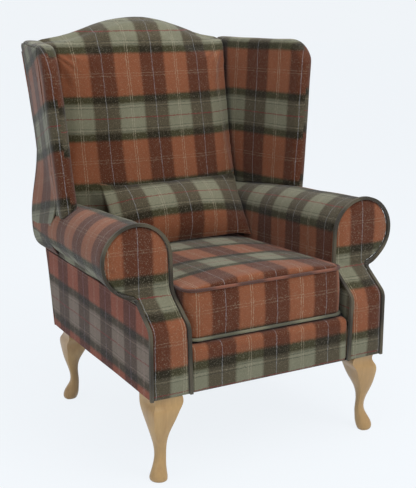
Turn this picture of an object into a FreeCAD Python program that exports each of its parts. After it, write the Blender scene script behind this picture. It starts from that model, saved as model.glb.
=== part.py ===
import FreeCAD, Part
import math
import os
from types import SimpleNamespace

import Sketcher

# A high-backed fireside wing chair: a hardwood frame on four cabriole legs, zigzag seat springs,
# padded back, wings and scroll arms, a loose seat cushion and a loose lumbar cushion.
# The chair faces -Y, +X is to the right of someone who looks at its front, +Z is up.
# The origin is on the floor, in the middle of the chair's overall box.

V = FreeCAD.Vector
doc = FreeCAD.newDocument("fireside_chair")

# Driving dimensions, in millimetres and degrees
DIMENSIONS = (
    # overall
    ("overall_height", 1081),
    ("base_width", 674),
    ("base_depth", 650),
    ("leg_height", 216),
    ("back_rake", 13.14),
    ("seat_rake", 3),
    # skins, seams and clearances
    ("cover_thickness", 4),
    ("cloth_thickness", 1),
    ("seam_gap", 0.3),
    ("slide_gap", 2),
    # seat frame
    ("rail_thickness", 25),
    ("rail_height", 92),
    ("block_size", 80),
    ("block_height", 40),
    ("front_padding", 18),
    # seat springs and deck
    ("spring_wire", 3.8),
    ("spring_count", 5),
    ("spring_spacing", 88),
    ("spring_loop_radius", 12),
    ("spring_half_width", 26),
    ("deck_thickness", 22),
    ("border_lip_height", 24),
    ("border_lip_radius", 16),
    # arms and their scroll fronts
    ("arm_inner_half", 232),
    ("arm_pad_thickness", 30),
    ("arm_foot_height", 292),
    ("scroll_centre_x", 329),
    ("scroll_centre_height", 535),
    ("scroll_radius", 88),
    ("rear_scroll_centre_x", 306),
    ("rear_scroll_centre_height", 508),
    ("rear_scroll_radius", 65),
    ("arm_bow", 6),
    ("neck_radius", 12),
    ("neck_line_height", 430),
    ("sweep_depth", 88),
    ("sweep_start_height", 372),
    ("sweep_slope", 36),
    ("sweep_low_radius", 30),
    ("sweep_high_radius", 40),
    ("facing_thickness", 18),
    ("facing_bead_radius", 4),
    ("bead_proud", 3),
    ("stump_depth", 48),
    ("arm_rail_width", 45),
    ("arm_rail_height", 30),
    # back
    ("back_frame_depth", 22),
    ("post_width", 28),
    ("post_outer_half", 314),
    ("webbing_thickness", 2),
    ("webbing_width", 50),
    ("webbing_count", 5),
    ("top_rail_height", 70),
    ("stay_rail_height", 45),
    ("stay_rail_level", 400),
    ("waist_half_width", 329),
    ("waist_level", 700),
    ("shoulder_half_width", 341),
    ("back_foot_level", 352),
    ("seat_level", 463),
    ("back_thickness", 60),
    ("back_thickness_top", 82),
    ("back_crown", 45),
    ("back_crown_top", 35),
    ("crest_front_radius", 40),
    ("crest_rear_radius", 18),
    ("crest_wrap", 25),
    ("hump_half_width", 150),
    ("hump_drop", 30),
    ("hump_shoulder_half", 245),
    ("shoulder_slope", 8),
    # wings
    ("wing_drop", 63),
    ("wing_rail_drop", 18),
    ("wing_rail_height", 25),
    ("wing_front_half", 383),
    ("wing_front_depth", 430),
    ("wing_foot_level", 620),
    ("wing_lean", 4.8),
    ("wing_forward_lean", 2.2),
    ("wing_edge_radius", 24),
    ("wing_rear_thickness", 43),
    ("wing_corner_radius", 85),
    ("wing_top_radius", 18),
    ("wing_seam_setback", 45),
    ("wing_post_width", 24),
    ("wing_post_depth", 34),
    # loose seat cushion
    ("cushion_half_width", 226),
    ("cushion_setback", 20),
    ("cushion_depth", 574),
    ("cushion_height", 129),
    ("cushion_corner_radius", 32),
    ("cushion_crown", 16),
    ("cushion_side_swell", 3),
    ("cushion_bead_radius", 4),
    ("cushion_bead_out", 1),
    # loose lumbar cushion
    ("lumbar_half_width", 213),
    ("lumbar_half_height", 94),
    ("lumbar_ear", 6),
    ("lumbar_front_swell", 52),
    ("lumbar_rear_swell", 58),
    ("lumbar_lean", 32),
    ("lumbar_offset_x", 16),
    # legs
    ("leg_inset_side", 37),
    ("leg_inset_front", 36),
    ("leg_inset_rear", 50),
    ("bolt_radius", 4),
    ("bolt_clearance", 0.2),
    ("bolt_set_in", 26),
    ("bolt_depth_in_leg", 45),
    ("nut_across_corners", 15),
    ("nut_height", 6),
)

dims = doc.addObject("Spreadsheet::Sheet", "dims")
for row, (alias, number) in enumerate(DIMENSIONS, start=1):
    dims.set("A%d" % row, alias)
    dims.set("B%d" % row, str(number))
    dims.setAlias("B%d" % row, alias)
doc.recompute()

# Lengths that follow from the driving dimensions, in the chair's own frame
FOLLOWING = (
    ("half_width", "dims.base_width / 2"),
    ("rake_run", "tan(dims.back_rake * 1deg)"),
    ("rake_cosine", "cos(dims.back_rake * 1deg)"),
    ("crest_y", "dims.base_depth + (dims.overall_height - dims.crest_rear_radius - dims.leg_height)"
                " * lengths.rake_run + dims.crest_rear_radius * (1 - 1 / lengths.rake_cosine)"),
    ("front_y", "dims.bead_proud - (dims.bead_proud + lengths.crest_y) / 2"),
    ("rear_y", "lengths.front_y + dims.base_depth"),
    ("side_rail_inner", "lengths.half_width - dims.cover_thickness - dims.rail_thickness"),
    ("front_rail_y", "lengths.front_y + dims.front_padding"),
    ("block_front_y", "lengths.front_rail_y + dims.rail_thickness"),
    ("post_inner_half", "dims.post_outer_half - dims.post_width"),
    ("frame_front", "dims.cover_thickness + dims.back_frame_depth"),
    ("post_foot_y", "lengths.rear_y - lengths.frame_front / lengths.rake_cosine"),
    ("rail_top", "dims.leg_height + dims.rail_height"),
    ("rear_rail_top", "lengths.rail_top - (lengths.post_foot_y - lengths.block_front_y)"
                      " * tan(dims.seat_rake * 1deg)"),
    ("stump_y", "lengths.front_y + dims.facing_thickness"),
    ("arm_rail_bottom", "dims.neck_line_height + 40"),
    ("arm_rail_top", "lengths.arm_rail_bottom + dims.arm_rail_height"),
    ("arm_rail_y", "lengths.front_y + dims.sweep_depth + dims.facing_thickness + dims.seam_gap"),
    ("arm_rail_end_y", "lengths.post_foot_y + (lengths.arm_rail_bottom - dims.leg_height)"
                       " * lengths.rake_run - dims.seam_gap"),
    ("deck_half_width", "dims.arm_inner_half - dims.slide_gap / 2"),
    ("lip_depth", "dims.rail_thickness / 2 - dims.seam_gap"),
    ("wing_height", "dims.overall_height - dims.wing_drop"),
)
lengths = doc.addObject("App::VarSet", "lengths")
for name, formula in FOLLOWING:
    lengths.addProperty("App::PropertyFloat", name)
for name, formula in FOLLOWING:
    lengths.setExpression(name, formula)
doc.recompute()

size = SimpleNamespace()
for alias, number in DIMENSIONS:
    setattr(size, alias, float(dims.get(alias)))
for name, formula in FOLLOWING:
    setattr(size, name, float(getattr(lengths, name)))

NODES = {}


# Naming and placing of the sub-parts

def keep(name, obj):
    """List an object as a sub-part under its own label."""
    obj.Label = name
    NODES[name] = obj
    return obj


def shaped(name, shape, placement=None):
    """A sub-part whose form is worked out in code from the sheet."""
    obj = doc.addObject("Part::Feature", name)
    obj.Shape = shape
    obj.Placement = placement or FreeCAD.Placement()
    return obj


def mirrored(name, source):
    """The left-hand twin of a right-hand piece."""
    obj = doc.addObject("Part::Mirroring", name)
    obj.Source = source
    obj.Base = V(0, 0, 0)
    obj.Normal = V(1, 0, 0)
    return obj


def keep_pair(name, source):
    """Keep a right-hand piece and its mirrored left-hand twin."""
    keep("right_" + name, source)
    keep("left_" + name, mirrored("left_" + name, source))


def board(name, lengths_xyz, corner, tilt=None):
    """A straight board: three lengths, a corner and a tilt about X, all as expressions."""
    obj = doc.addObject("Part::Box", name)
    for prop, formula in zip(("Length", "Width", "Height"), lengths_xyz):
        obj.setExpression(prop, formula)
    obj.Placement = FreeCAD.Placement(V(0, 0, 0), FreeCAD.Rotation(V(1, 0, 0), 5))
    obj.setExpression("Placement.Rotation.Angle", (tilt or "0") + " * 1deg")
    for axis, formula in zip("xyz", corner):
        obj.setExpression("Placement.Base." + axis, formula)
    return obj


def outlined(body_name, plane_role, corners, thickness):
    """A body padded both ways from a sketched polygon whose corners are expressions."""
    body = doc.addObject("PartDesign::Body", body_name)
    plane = next(f for f in body.Origin.OriginFeatures if f.Role == plane_role)
    sketch = body.newObject("Sketcher::SketchObject", body_name + "_outline")
    sketch.AttachmentSupport = [(plane, "")]
    sketch.MapMode = "FlatFace"
    numbers = [tuple(float(dims.evalExpression(e)) for e in corner) for corner in corners]
    count = len(corners)
    for i, (x, y) in enumerate(numbers):
        x_next, y_next = numbers[(i + 1) % count]
        sketch.addGeometry(Part.LineSegment(V(x, y, 0), V(x_next, y_next, 0)), False)
    for i in range(count):
        sketch.addConstraint(Sketcher.Constraint("Coincident", i, 2, (i + 1) % count, 1))
    for i, corner in enumerate(corners):
        for kind, formula, number in zip(("DistanceX", "DistanceY"), corner, numbers[i]):
            index = sketch.addConstraint(Sketcher.Constraint(kind, -1, 1, i, 1, number))
            sketch.setExpression("Constraints[%d]" % index, formula)
    pad = body.newObject("PartDesign::Pad", body_name + "_pad")
    pad.Profile = sketch
    pad.Midplane = True
    pad.setExpression("Length", thickness)
    doc.recompute()
    return body, pad


def raked_board(name, bottom, top, breadth, middle="0"):
    """A board in the raked frame layer of the back, with level ends."""
    def foot(level):
        return "lengths.post_foot_y + (%s - dims.leg_height) * lengths.rake_run" % level

    depth = " + dims.back_frame_depth / lengths.rake_cosine"
    corners = [(foot(bottom), bottom), (foot(bottom) + depth, bottom),
               (foot(top) + depth, top), (foot(top), top)]
    body, pad = outlined(name, "YZ_Plane", corners, breadth)
    body.setExpression("Placement.Base.x", middle)
    return body


# Geometry shared by several pieces

def rear_plane(z, inset=0.0):
    """World y of the raked rear face at a height, set in by a distance square to it."""
    return size.rear_y + (z - size.leg_height) * size.rake_run - inset / size.rake_cosine


def rear_half_width(z):
    """Half width of the chair's back edge: narrowest at the waist, wider at the shoulder."""
    rise = (z - size.waist_level) / (size.wing_height - size.waist_level)
    return size.waist_half_width + (size.shoulder_half_width - size.waist_half_width) * rise ** 2


def crease_depth(z):
    """How far the crease between back and wing lies in front of the rear face."""
    rise = (z - size.seat_level) / (size.wing_height - size.seat_level)
    return size.back_thickness + (size.back_thickness_top - size.back_thickness) * rise


def polygon(points):
    return Part.Face(Part.makePolygon(points + [points[0]]))


def arc(centre, radius, start, end, at):
    """An arc of a circle between two angles in degrees; at(u, v) makes the 3-D point."""
    points = []
    for share in (0.0, 0.5, 1.0):
        angle = math.radians(start + (end - start) * share)
        u = centre[0] + radius * math.cos(angle)
        v = centre[1] + radius * math.sin(angle)
        points.append(at(u, v))
    return Part.Arc(*points).toShape()


def tangent_point(point, centre, radius, side):
    """Where a line from a point touches a circle, on the side +1 (left) or -1 (right)."""
    run = centre[0] - point[0]
    rise = centre[1] - point[1]
    distance = math.hypot(run, rise)
    reach = math.sqrt(distance ** 2 - radius ** 2)
    angle = math.atan2(rise, run) + side * math.asin(radius / distance)
    return point[0] + reach * math.cos(angle), point[1] + reach * math.sin(angle)


def angle_at(centre, point):
    return math.degrees(math.atan2(point[1] - centre[1], point[0] - centre[0]))


def raked_slab(near, far, bottom, top, half):
    """A slab parallel to the rear face, between two insets from it."""
    corners = [V(-half, rear_plane(z, inset), z)
               for z, inset in ((bottom, near), (top, near), (top, far), (bottom, far))]
    return polygon(corners).extrude(V(2 * half, 0, 0))


FAR = 3 * size.base_width


def slice_box(x_low, x_high, z_low, z_high):
    return Part.makeBox(x_high - x_low, 2 * FAR, z_high - z_low, V(x_low, -FAR, z_low))


# The swept front of the arm: upright at the base, swept back to the scroll

def sweep_edges(x, shift, bottom, top):
    """Edges of the front sweep from bottom to top in the plane at x, shifted back by shift."""
    turn = 90 - size.sweep_slope
    low_centre = (size.front_y + shift + size.sweep_low_radius, size.sweep_start_height)
    low = arc(low_centre, size.sweep_low_radius, 180, 180 - turn, lambda y, z: V(x, y, z))
    low_start = low.Vertexes[0].Point
    low_end = low.Vertexes[-1].Point
    bend = (size.sweep_low_radius + size.sweep_high_radius) * (1 - math.cos(math.radians(turn)))
    run = size.sweep_depth - bend
    high_start = low_end + V(0, run, run * math.tan(math.radians(size.sweep_slope)))
    lift = size.sweep_high_radius * math.sin(math.radians(turn))
    high_centre = (size.front_y + shift + size.sweep_depth - size.sweep_high_radius,
                   high_start.z + lift)
    high = arc(high_centre, size.sweep_high_radius, -turn, 0, lambda y, z: V(x, y, z))
    high_end = high.Vertexes[-1].Point
    return [
        Part.makeLine(V(x, low_start.y, bottom), low_start),
        low,
        Part.makeLine(low_end, high.Vertexes[0].Point),
        high,
        Part.makeLine(high_end, V(x, high_end.y, top)),
    ]


SWEEP_BOTTOM = size.leg_height - 80
SWEEP_TOP = size.overall_height + 60


def behind_sweep(shift, rear_inset, x_low, x_high):
    """All that lies behind the shifted front sweep and in front of the raked rear face."""
    edges = sweep_edges(x_low, shift, SWEEP_BOTTOM, SWEEP_TOP)
    top_front = edges[-1].Vertexes[-1].Point
    bottom_front = edges[0].Vertexes[0].Point
    top_rear = V(x_low, rear_plane(SWEEP_TOP, rear_inset), SWEEP_TOP)
    bottom_rear = V(x_low, rear_plane(SWEEP_BOTTOM, rear_inset), SWEEP_BOTTOM)
    edges.append(Part.makeLine(top_front, top_rear))
    edges.append(Part.makeLine(top_rear, bottom_rear))
    edges.append(Part.makeLine(bottom_rear, bottom_front))
    return Part.Face(Part.Wire(edges)).extrude(V(x_high - x_low, 0, 0))


def sweep_strip(near, far, x_low, x_high):
    """A layer that follows the front sweep, between two shifts."""
    front = sweep_edges(x_low, near, SWEEP_BOTTOM, SWEEP_TOP)
    rear = sweep_edges(x_low, far, SWEEP_BOTTOM, SWEEP_TOP)
    top = Part.makeLine(front[-1].Vertexes[-1].Point, rear[-1].Vertexes[-1].Point)
    bottom = Part.makeLine(front[0].Vertexes[0].Point, rear[0].Vertexes[0].Point)
    wire = Part.Wire(Part.__sortEdges__(front + rear + [top, bottom]))
    return Part.Face(wire).extrude(V(x_high - x_low, 0, 0))


# The arm's cross-section: an upright inner side that rolls outwards into a scroll

def arm_wire(y, scroll, grow, foot, hollow):
    """One section of the arm in the plane at y; scroll is (centre x, centre z, radius)."""
    centre = (scroll[0], scroll[1])
    radius = scroll[2] + grow
    inner = size.arm_inner_half - grow
    outer = size.half_width + grow
    neck = size.neck_radius - grow
    touch = tangent_point((inner, size.leg_height), centre, radius, 1)
    lean = (touch[0] - inner) / (touch[1] - size.leg_height)
    inner_foot = inner + (foot - size.leg_height) * lean
    neck_x = outer + neck
    neck_z = centre[1] - math.sqrt((radius + neck) ** 2 - (neck_x - centre[0]) ** 2)
    share = radius / (radius + neck)
    leave = (centre[0] + share * (neck_x - centre[0]), centre[1] + share * (neck_z - centre[1]))
    start = angle_at(centre, touch)
    end = angle_at(centre, leave)
    middle = (start + end) / 2

    def at(x, z):
        return V(x, y, z)

    edges = [
        Part.makeLine(at(inner_foot, foot), at(*touch)),
        arc(centre, radius, start, middle, at),
        arc(centre, radius, middle, end, at),
        arc((neck_x, neck_z), neck, angle_at((neck_x, neck_z), leave), 180, at),
    ]
    corners = [at(outer, neck_z)]
    if hollow:
        lining = inner_foot + size.arm_pad_thickness
        corners += [at(outer, size.neck_line_height), at(lining, size.neck_line_height)]
        corners += [at(lining, foot)]
    else:
        corners += [at(outer, foot)]
    corners += [at(inner_foot, foot)]
    for begin, finish in zip(corners, corners[1:]):
        edges.append(Part.makeLine(begin, finish))
    return Part.Wire(edges)


def arm_scroll(share):
    """Centre and radius of the scroll, from 0 at the front to 1 at the rear."""
    bow = size.arm_bow * 4 * share * (1 - share)
    return (
        size.scroll_centre_x + (size.rear_scroll_centre_x - size.scroll_centre_x) * share,
        size.scroll_centre_height
        + (size.rear_scroll_centre_height - size.scroll_centre_height) * share + bow,
        size.scroll_radius + (size.rear_scroll_radius - size.scroll_radius) * share,
    )


ARM_FRONT = size.front_y + size.sweep_depth
ARM_REAR = rear_plane(size.rear_scroll_centre_height)


def arm_form(grow, foot, hollow):
    """The arm from before its facing to behind the chair's back, as a ruled form."""
    stations = [(size.front_y - 20, 0.0), (ARM_FRONT, 0.0)]
    stations += [(ARM_FRONT + (ARM_REAR - ARM_FRONT) * share, share) for share in (0.5, 1.0)]
    stations += [(ARM_REAR + 80, 1.0)]
    wires = [arm_wire(y, arm_scroll(share), grow, foot, hollow) for y, share in stations]
    return Part.makeLoft(wires, True, True)


def facing_prism(grow):
    """The outline of the arm's front, as a prism along Y that is open below the base line."""
    front = size.front_y - 30
    wire = arm_wire(front, arm_scroll(0.0), grow, SWEEP_BOTTOM, False)
    prism = Part.Face(wire).extrude(V(0, size.sweep_depth + 80, 0))
    return prism.common(slice_box(0, FAR, size.leg_height, SWEEP_TOP))


# The crest of the back: a camel hump between two low shoulders

def crest_parts():
    hump_radius = (size.hump_half_width ** 2 + size.hump_drop ** 2) / (2 * size.hump_drop)
    steep = math.asin(size.hump_half_width / hump_radius)
    gentle = math.radians(size.shoulder_slope)
    hollow_radius = ((size.hump_shoulder_half - size.hump_half_width)
                     / (math.sin(steep) - math.sin(gentle)))
    hollow_x = size.hump_half_width + hollow_radius * math.sin(steep)
    hollow_z = size.overall_height - size.hump_drop + hollow_radius * math.cos(steep)
    return hump_radius, steep, gentle, hollow_radius, hollow_x, hollow_z


def crest_height(x):
    hump_radius, steep, gentle, hollow_radius, hollow_x, hollow_z = crest_parts()
    x = abs(x)
    if x <= size.hump_half_width:
        return size.overall_height - hump_radius + math.sqrt(hump_radius ** 2 - x ** 2)
    edge = min(x, size.hump_shoulder_half)
    level = hollow_z - math.sqrt(hollow_radius ** 2 - (edge - hollow_x) ** 2)
    return level - (x - edge) * math.tan(gentle)


def crest_edges(y, drop, half):
    """The crest line in the plane at y, lowered by drop, from +half to -half."""
    stops = [half, size.hump_shoulder_half, size.hump_half_width, 0]
    points = []
    for outer, inner in zip(stops, stops[1:]):
        points += [outer, (outer + inner) / 2]
    points += [0]
    points += [-x for x in reversed(points[:-1])]
    points = [V(x, y, crest_height(x) - drop) for x in points]
    edges = []
    for i in range(0, len(points) - 1, 2):
        if i in (0, len(points) - 3):
            edges.append(Part.makeLine(points[i], points[i + 2]))
        else:
            edges.append(Part.Arc(points[i], points[i + 1], points[i + 2]).toShape())
    return edges


# Seat frame: four rails, corner blocks, bottom cloth

front_rail = keep("front_seat_rail", board(
    "front_seat_rail",
    ("2 * lengths.side_rail_inner", "dims.rail_thickness", "dims.rail_height"),
    ("-lengths.side_rail_inner", "lengths.front_rail_y", "dims.leg_height")))
rear_rail = keep("rear_seat_rail", raked_board(
    "rear_seat_rail", "dims.leg_height", "lengths.rear_rail_top", "2 * lengths.post_inner_half"))
keep_pair("side_seat_rail", board(
    "right_side_seat_rail",
    ("dims.rail_thickness", "lengths.post_foot_y - lengths.front_rail_y - dims.seam_gap",
     "dims.rail_height"),
    ("lengths.side_rail_inner", "lengths.front_rail_y", "dims.leg_height")))


def corner_block(name, y_corner, inward):
    """A glue block in the right-hand corner of the seat frame, with its leg bolt's hole."""
    reach = "lengths.side_rail_inner - dims.block_size"
    corners = [("lengths.side_rail_inner", y_corner), (reach, y_corner),
               ("lengths.side_rail_inner", "%s %s dims.block_size" % (y_corner, inward))]
    body, pad = outlined(name, "XY_Plane", corners, "2 * dims.block_height")
    placement = FreeCAD.Placement(V(0, 0, size.leg_height), FreeCAD.Rotation())
    body.Placement = placement
    body.setExpression("Placement.Base.z", "dims.leg_height")
    lower = doc.addObject("Part::Box", name + "_keep")
    lower.Placement = FreeCAD.Placement(V(0, -FAR, 0), FreeCAD.Rotation())
    lower.setExpression("Length", "dims.base_width")
    lower.Width = 2 * FAR
    lower.setExpression("Height", "dims.block_height")
    lower.setExpression("Placement.Base.z", "dims.leg_height")
    block = doc.addObject("Part::Common", name + "_block")
    block.Base = body
    block.Tool = lower
    return block


def leg_axis(side, end):
    """World x and y of a leg's axis; side +1 right, end -1 front or +1 rear."""
    x = side * (size.half_width - size.leg_inset_side)
    if end < 0:
        return x, size.front_y + size.leg_inset_front
    return x, size.rear_y - size.leg_inset_rear


def bolt_point(side, end):
    """World x and y of the leg's bolt, set in from the axis along the leg's diagonal."""
    x, y = leg_axis(side, end)
    step = size.bolt_set_in / math.sqrt(2)
    return x - side * step, y - end * step


def bored(name, source, end):
    hole = doc.addObject("Part::Cylinder", name + "_hole")
    hole.setExpression("Radius", "dims.bolt_radius + dims.bolt_clearance")
    hole.setExpression("Height", "dims.block_height")
    x, y = bolt_point(1, end)
    hole.Placement = FreeCAD.Placement(V(x, y, size.leg_height), FreeCAD.Rotation())
    cut = doc.addObject("Part::Cut", name + "_bored")
    cut.Base = source
    cut.Tool = hole
    return cut


front_block = bored("front_block", corner_block("front_block", "lengths.block_front_y", "+"), -1)
rear_block = bored(
    "rear_block", corner_block("rear_block", "lengths.post_foot_y - dims.seam_gap", "-"), 1)


def group(name, pieces):
    """Identical pieces that share one node, kept as separate solids."""
    obj = doc.addObject("Part::Compound", name)
    obj.Links = pieces
    return keep(name, obj)


group("corner_blocks", [front_block, rear_block, mirrored("front_block_left", front_block),
                        mirrored("rear_block_left", rear_block)])


# Cabriole legs, each turned so that its knee and foot point out along the corner's diagonal.
# Per section: height, outward reach, inward reach and half breadth square to the diagonal,
# as millimetres on a leg of the reference height, and how round the section is.
LEG_REFERENCE = 216.0
LEG_SECTIONS = (
    (0, 31, -2, 20, 0.20),
    (4, 34, -4, 22.5, 0.20),
    (17, 34, -9, 21, 0.19),
    (33, 26, -11, 17.5, 0.18),
    (52, 15, -12, 15.5, 0.17),
    (84, 15, -10, 17, 0.15),
    (124, 31, -19, 27, 0.11),
    (156, 40, -38, 41, 0.06),
    (184, 40, -50, 52, 0.03),
    (215, 34, -54, 55, 0.02),
)


def leg_wire(z, outward, inward, half, round_share):
    """A four-cornered section whose sides swell; corners point out, in and to each side."""
    middle = (outward + inward) / 2
    corners = [V(outward, 0, z), V(middle, half, z), V(inward, 0, z), V(middle, -half, z)]
    centre = V(middle, 0, z)
    edges = []
    for begin, finish in zip(corners, corners[1:] + corners[:1]):
        chord = finish - begin
        bulge = (begin + finish) * 0.5 - centre
        bulge.normalize()
        crown = (begin + finish) * 0.5 + bulge * (chord.Length * round_share)
        edges.append(Part.Arc(begin, crown, finish).toShape())
    return Part.Wire(edges)


def leg_form():
    """One leg about its own axis, outward along +X, bored for its bolt."""
    top = size.leg_height - size.cloth_thickness
    stretch = top / LEG_SECTIONS[-1][0]
    spread = size.leg_height / LEG_REFERENCE
    wires = [leg_wire(z * stretch, out * spread, inn * spread, half * spread, share)
             for z, out, inn, half, share in LEG_SECTIONS]
    form = Part.makeLoft(wires, True, False)
    hole = Part.makeCylinder(size.bolt_radius + size.bolt_clearance, size.bolt_depth_in_leg + 1,
                             V(-size.bolt_set_in, 0, top - size.bolt_depth_in_leg))
    return form.cut(hole)


leg = leg_form()
for end_name, end in (("front", -1), ("rear", 1)):
    for side_name, side in (("right", 1), ("left", -1)):
        x, y = leg_axis(side, end)
        turn = FreeCAD.Rotation(V(0, 0, 1), math.degrees(math.atan2(end, side)))
        name = "%s_%s_leg" % (end_name, side_name)
        keep(name, shaped(name, leg, FreeCAD.Placement(V(x, y, 0), turn)))


def leg_bolt(side, end):
    """A hanger bolt from the leg up through the corner block."""
    obj = doc.addObject("Part::Cylinder", "bolt")
    obj.setExpression("Radius", "dims.bolt_radius")
    obj.setExpression("Height", "dims.bolt_depth_in_leg + dims.cloth_thickness + dims.block_height"
                                " + 2 * dims.nut_height")
    x, y = bolt_point(side, end)
    low = size.leg_height - size.cloth_thickness - size.bolt_depth_in_leg
    obj.Placement = FreeCAD.Placement(V(x, y, low), FreeCAD.Rotation())
    return obj


def leg_nut(side, end):
    """A hexagon nut that sits on the corner block."""
    x, y = bolt_point(side, end)
    low = size.leg_height + size.block_height
    body = doc.addObject("Part::Prism", "nut_body")
    body.Polygon = 6
    body.setExpression("Circumradius", "dims.nut_across_corners / 2")
    body.setExpression("Height", "dims.nut_height")
    body.Placement = FreeCAD.Placement(V(x, y, low), FreeCAD.Rotation())
    hole = doc.addObject("Part::Cylinder", "nut_hole")
    hole.setExpression("Radius", "dims.bolt_radius + dims.bolt_clearance / 4")
    hole.setExpression("Height", "dims.nut_height")
    hole.Placement = FreeCAD.Placement(V(x, y, low), FreeCAD.Rotation())
    nut = doc.addObject("Part::Cut", "nut")
    nut.Base = body
    nut.Tool = hole
    return nut


CORNERS = [(side, end) for end in (-1, 1) for side in (1, -1)]
group("leg_bolts", [leg_bolt(*corner) for corner in CORNERS])
group("leg_nuts", [leg_nut(*corner) for corner in CORNERS])

cloth = board(
    "bottom_cloth_sheet",
    ("dims.base_width - 4 * dims.cover_thickness",
     "dims.base_depth - 4 * dims.cover_thickness", "dims.cloth_thickness"),
    ("2 * dims.cover_thickness - lengths.half_width",
     "lengths.front_y + 2 * dims.cover_thickness", "dims.leg_height - dims.cloth_thickness"))
doc.recompute()
cloth_form = cloth.Shape.copy()
for corner in CORNERS:
    x, y = bolt_point(*corner)
    cloth_form = cloth_form.cut(Part.makeCylinder(
        size.bolt_radius + size.bolt_clearance, 4 * size.cloth_thickness,
        V(x, y, size.leg_height - 2 * size.cloth_thickness)))
keep("bottom_cloth", shaped("bottom_cloth", cloth_form))


# Arm frame: stump, arm rail

stump = sweep_strip(size.facing_thickness, size.facing_thickness + size.stump_depth,
                    size.side_rail_inner, size.half_width - size.cover_thickness)
stump = stump.common(slice_box(0, FAR, size.rail_top, size.arm_rail_bottom))
keep_pair("arm_stump", shaped("right_arm_stump", stump))
arm_rail = board(
    "right_arm_rail",
    ("dims.arm_rail_width", "lengths.arm_rail_end_y - lengths.arm_rail_y",
     "dims.arm_rail_height"),
    ("lengths.side_rail_inner", "lengths.arm_rail_y", "lengths.arm_rail_bottom"))
keep_pair("arm_rail", arm_rail)

# Back frame: posts, crest rail, stay rail, webbing

back_post = raked_board(
    "right_back_post", "dims.leg_height", "(lengths.wing_height - 3 * dims.cover_thickness)",
    "dims.post_width", "dims.post_outer_half - dims.post_width / 2")
keep_pair("back_post", back_post)

TOP_RAIL_BOTTOM = crest_height(size.post_inner_half) - size.crest_wrap - size.top_rail_height


def crested_panel(near, far, bottom, half, sides, drop):
    """A raked layer of the back whose top follows the crest, lowered by drop."""
    front = -FAR
    top = crest_edges(front, drop, half)
    first = top[0].Vertexes[0].Point
    last = top[-1].Vertexes[-1].Point
    edges = sides(front, bottom, first, last)
    prism = Part.Face(Part.Wire(Part.__sortEdges__(top + edges))).extrude(V(0, 2 * FAR, 0))
    return prism.common(raked_slab(near, far, SWEEP_BOTTOM, SWEEP_TOP, FAR))


def straight_sides(front, bottom, first, last):
    low_right = V(first.x, front, bottom)
    low_left = V(last.x, front, bottom)
    return [Part.makeLine(first, low_right), Part.makeLine(low_right, low_left),
            Part.makeLine(low_left, last)]


def waisted_sides(front, bottom, first, last):
    """Sides of the outside back: upright to the arm's neck, then drawn in to the waist."""
    neck = size.neck_line_height
    edges = []
    for sign, end in ((1, first), (-1, last)):
        middle = (neck + end.z) / 2
        start = V(sign * size.half_width, front, neck)
        through = V(sign * rear_half_width(middle), front, middle)
        edges.append(Part.Arc(start, through, end).toShape())
        edges.append(Part.makeLine(V(sign * size.half_width, front, bottom), start))
    edges.append(Part.makeLine(V(size.half_width, front, bottom),
                               V(-size.half_width, front, bottom)))
    return edges


UNDER_WRAP = size.crest_wrap + size.seam_gap
keep("crest_rail", shaped("crest_rail", crested_panel(
    size.cover_thickness, size.frame_front, TOP_RAIL_BOTTOM, size.post_inner_half,
    straight_sides, UNDER_WRAP)))
stay_rail = keep("stay_rail", raked_board(
    "stay_rail", "dims.stay_rail_level", "(dims.stay_rail_level + dims.stay_rail_height)",
    "2 * lengths.post_inner_half"))


def webbing_straps():
    straps = []
    low = size.stay_rail_level + size.stay_rail_height + size.webbing_width
    high = TOP_RAIL_BOTTOM - size.webbing_width
    step = (high - low) / (size.webbing_count - 1)
    for i in range(int(size.webbing_count)):
        level = low + i * step
        strap = board(
            "webbing_strap",
            ("2 * dims.post_outer_half", "dims.webbing_thickness", "dims.webbing_width"),
            ("-dims.post_outer_half", "0", "0"), "-dims.back_rake")
        strap.setExpression(
            "Placement.Base.y", "lengths.post_foot_y + (%r - dims.leg_height) * lengths.rake_run"
            " - dims.webbing_thickness / lengths.rake_cosine" % level)
        strap.setExpression("Placement.Base.z", "%r" % level)
        straps.append(strap)
    return straps


webbing = group("back_webbing", webbing_straps())

# Wings: a splayed form with a rolled front edge and a rounded top corner


def wing_front(z):
    """World x and y of the wing's front edge at a height."""
    rise = z - size.wing_foot_level
    x = size.wing_front_half + rise * math.tan(math.radians(size.wing_lean))
    y = size.front_y + size.wing_front_depth + rise * math.tan(math.radians(size.wing_forward_lean))
    return x, y


WING_LEVELS = (size.arm_rail_bottom, size.waist_level, size.wing_height + 30)


def wing_points(z):
    """Corner points of the wing's plan section at a height."""
    radius = size.wing_edge_radius
    edge_x, edge_y = wing_front(z)
    centre = (edge_x - radius, edge_y + radius)
    outer = (rear_half_width(z), rear_plane(z))
    crease = (outer[0] - size.wing_rear_thickness, outer[1] - crease_depth(z))
    inner_touch = tangent_point(crease, centre, radius, -1)
    outer_touch = tangent_point(outer, centre, radius, 1)
    return centre, radius, crease, outer, inner_touch, outer_touch


def wing_wire(z):
    centre, radius, crease, outer, inner_touch, outer_touch = wing_points(z)
    behind = outer[1] + 80

    def at(x, y):
        return V(x, y, z)

    start = angle_at(centre, inner_touch) % 360 - 360
    end = angle_at(centre, outer_touch)
    middle = (start + end) / 2
    corners = [at(*outer), at(outer[0], behind), at(crease[0], behind), at(*crease)]
    edges = [
        Part.makeLine(at(*crease), at(*inner_touch)),
        arc(centre, radius, start, middle, at),
        arc(centre, radius, middle, end, at),
        Part.makeLine(at(*outer_touch), at(*outer)),
    ]
    for begin, finish in zip(corners, corners[1:]):
        edges.append(Part.makeLine(begin, finish))
    return Part.Wire(edges)


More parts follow.
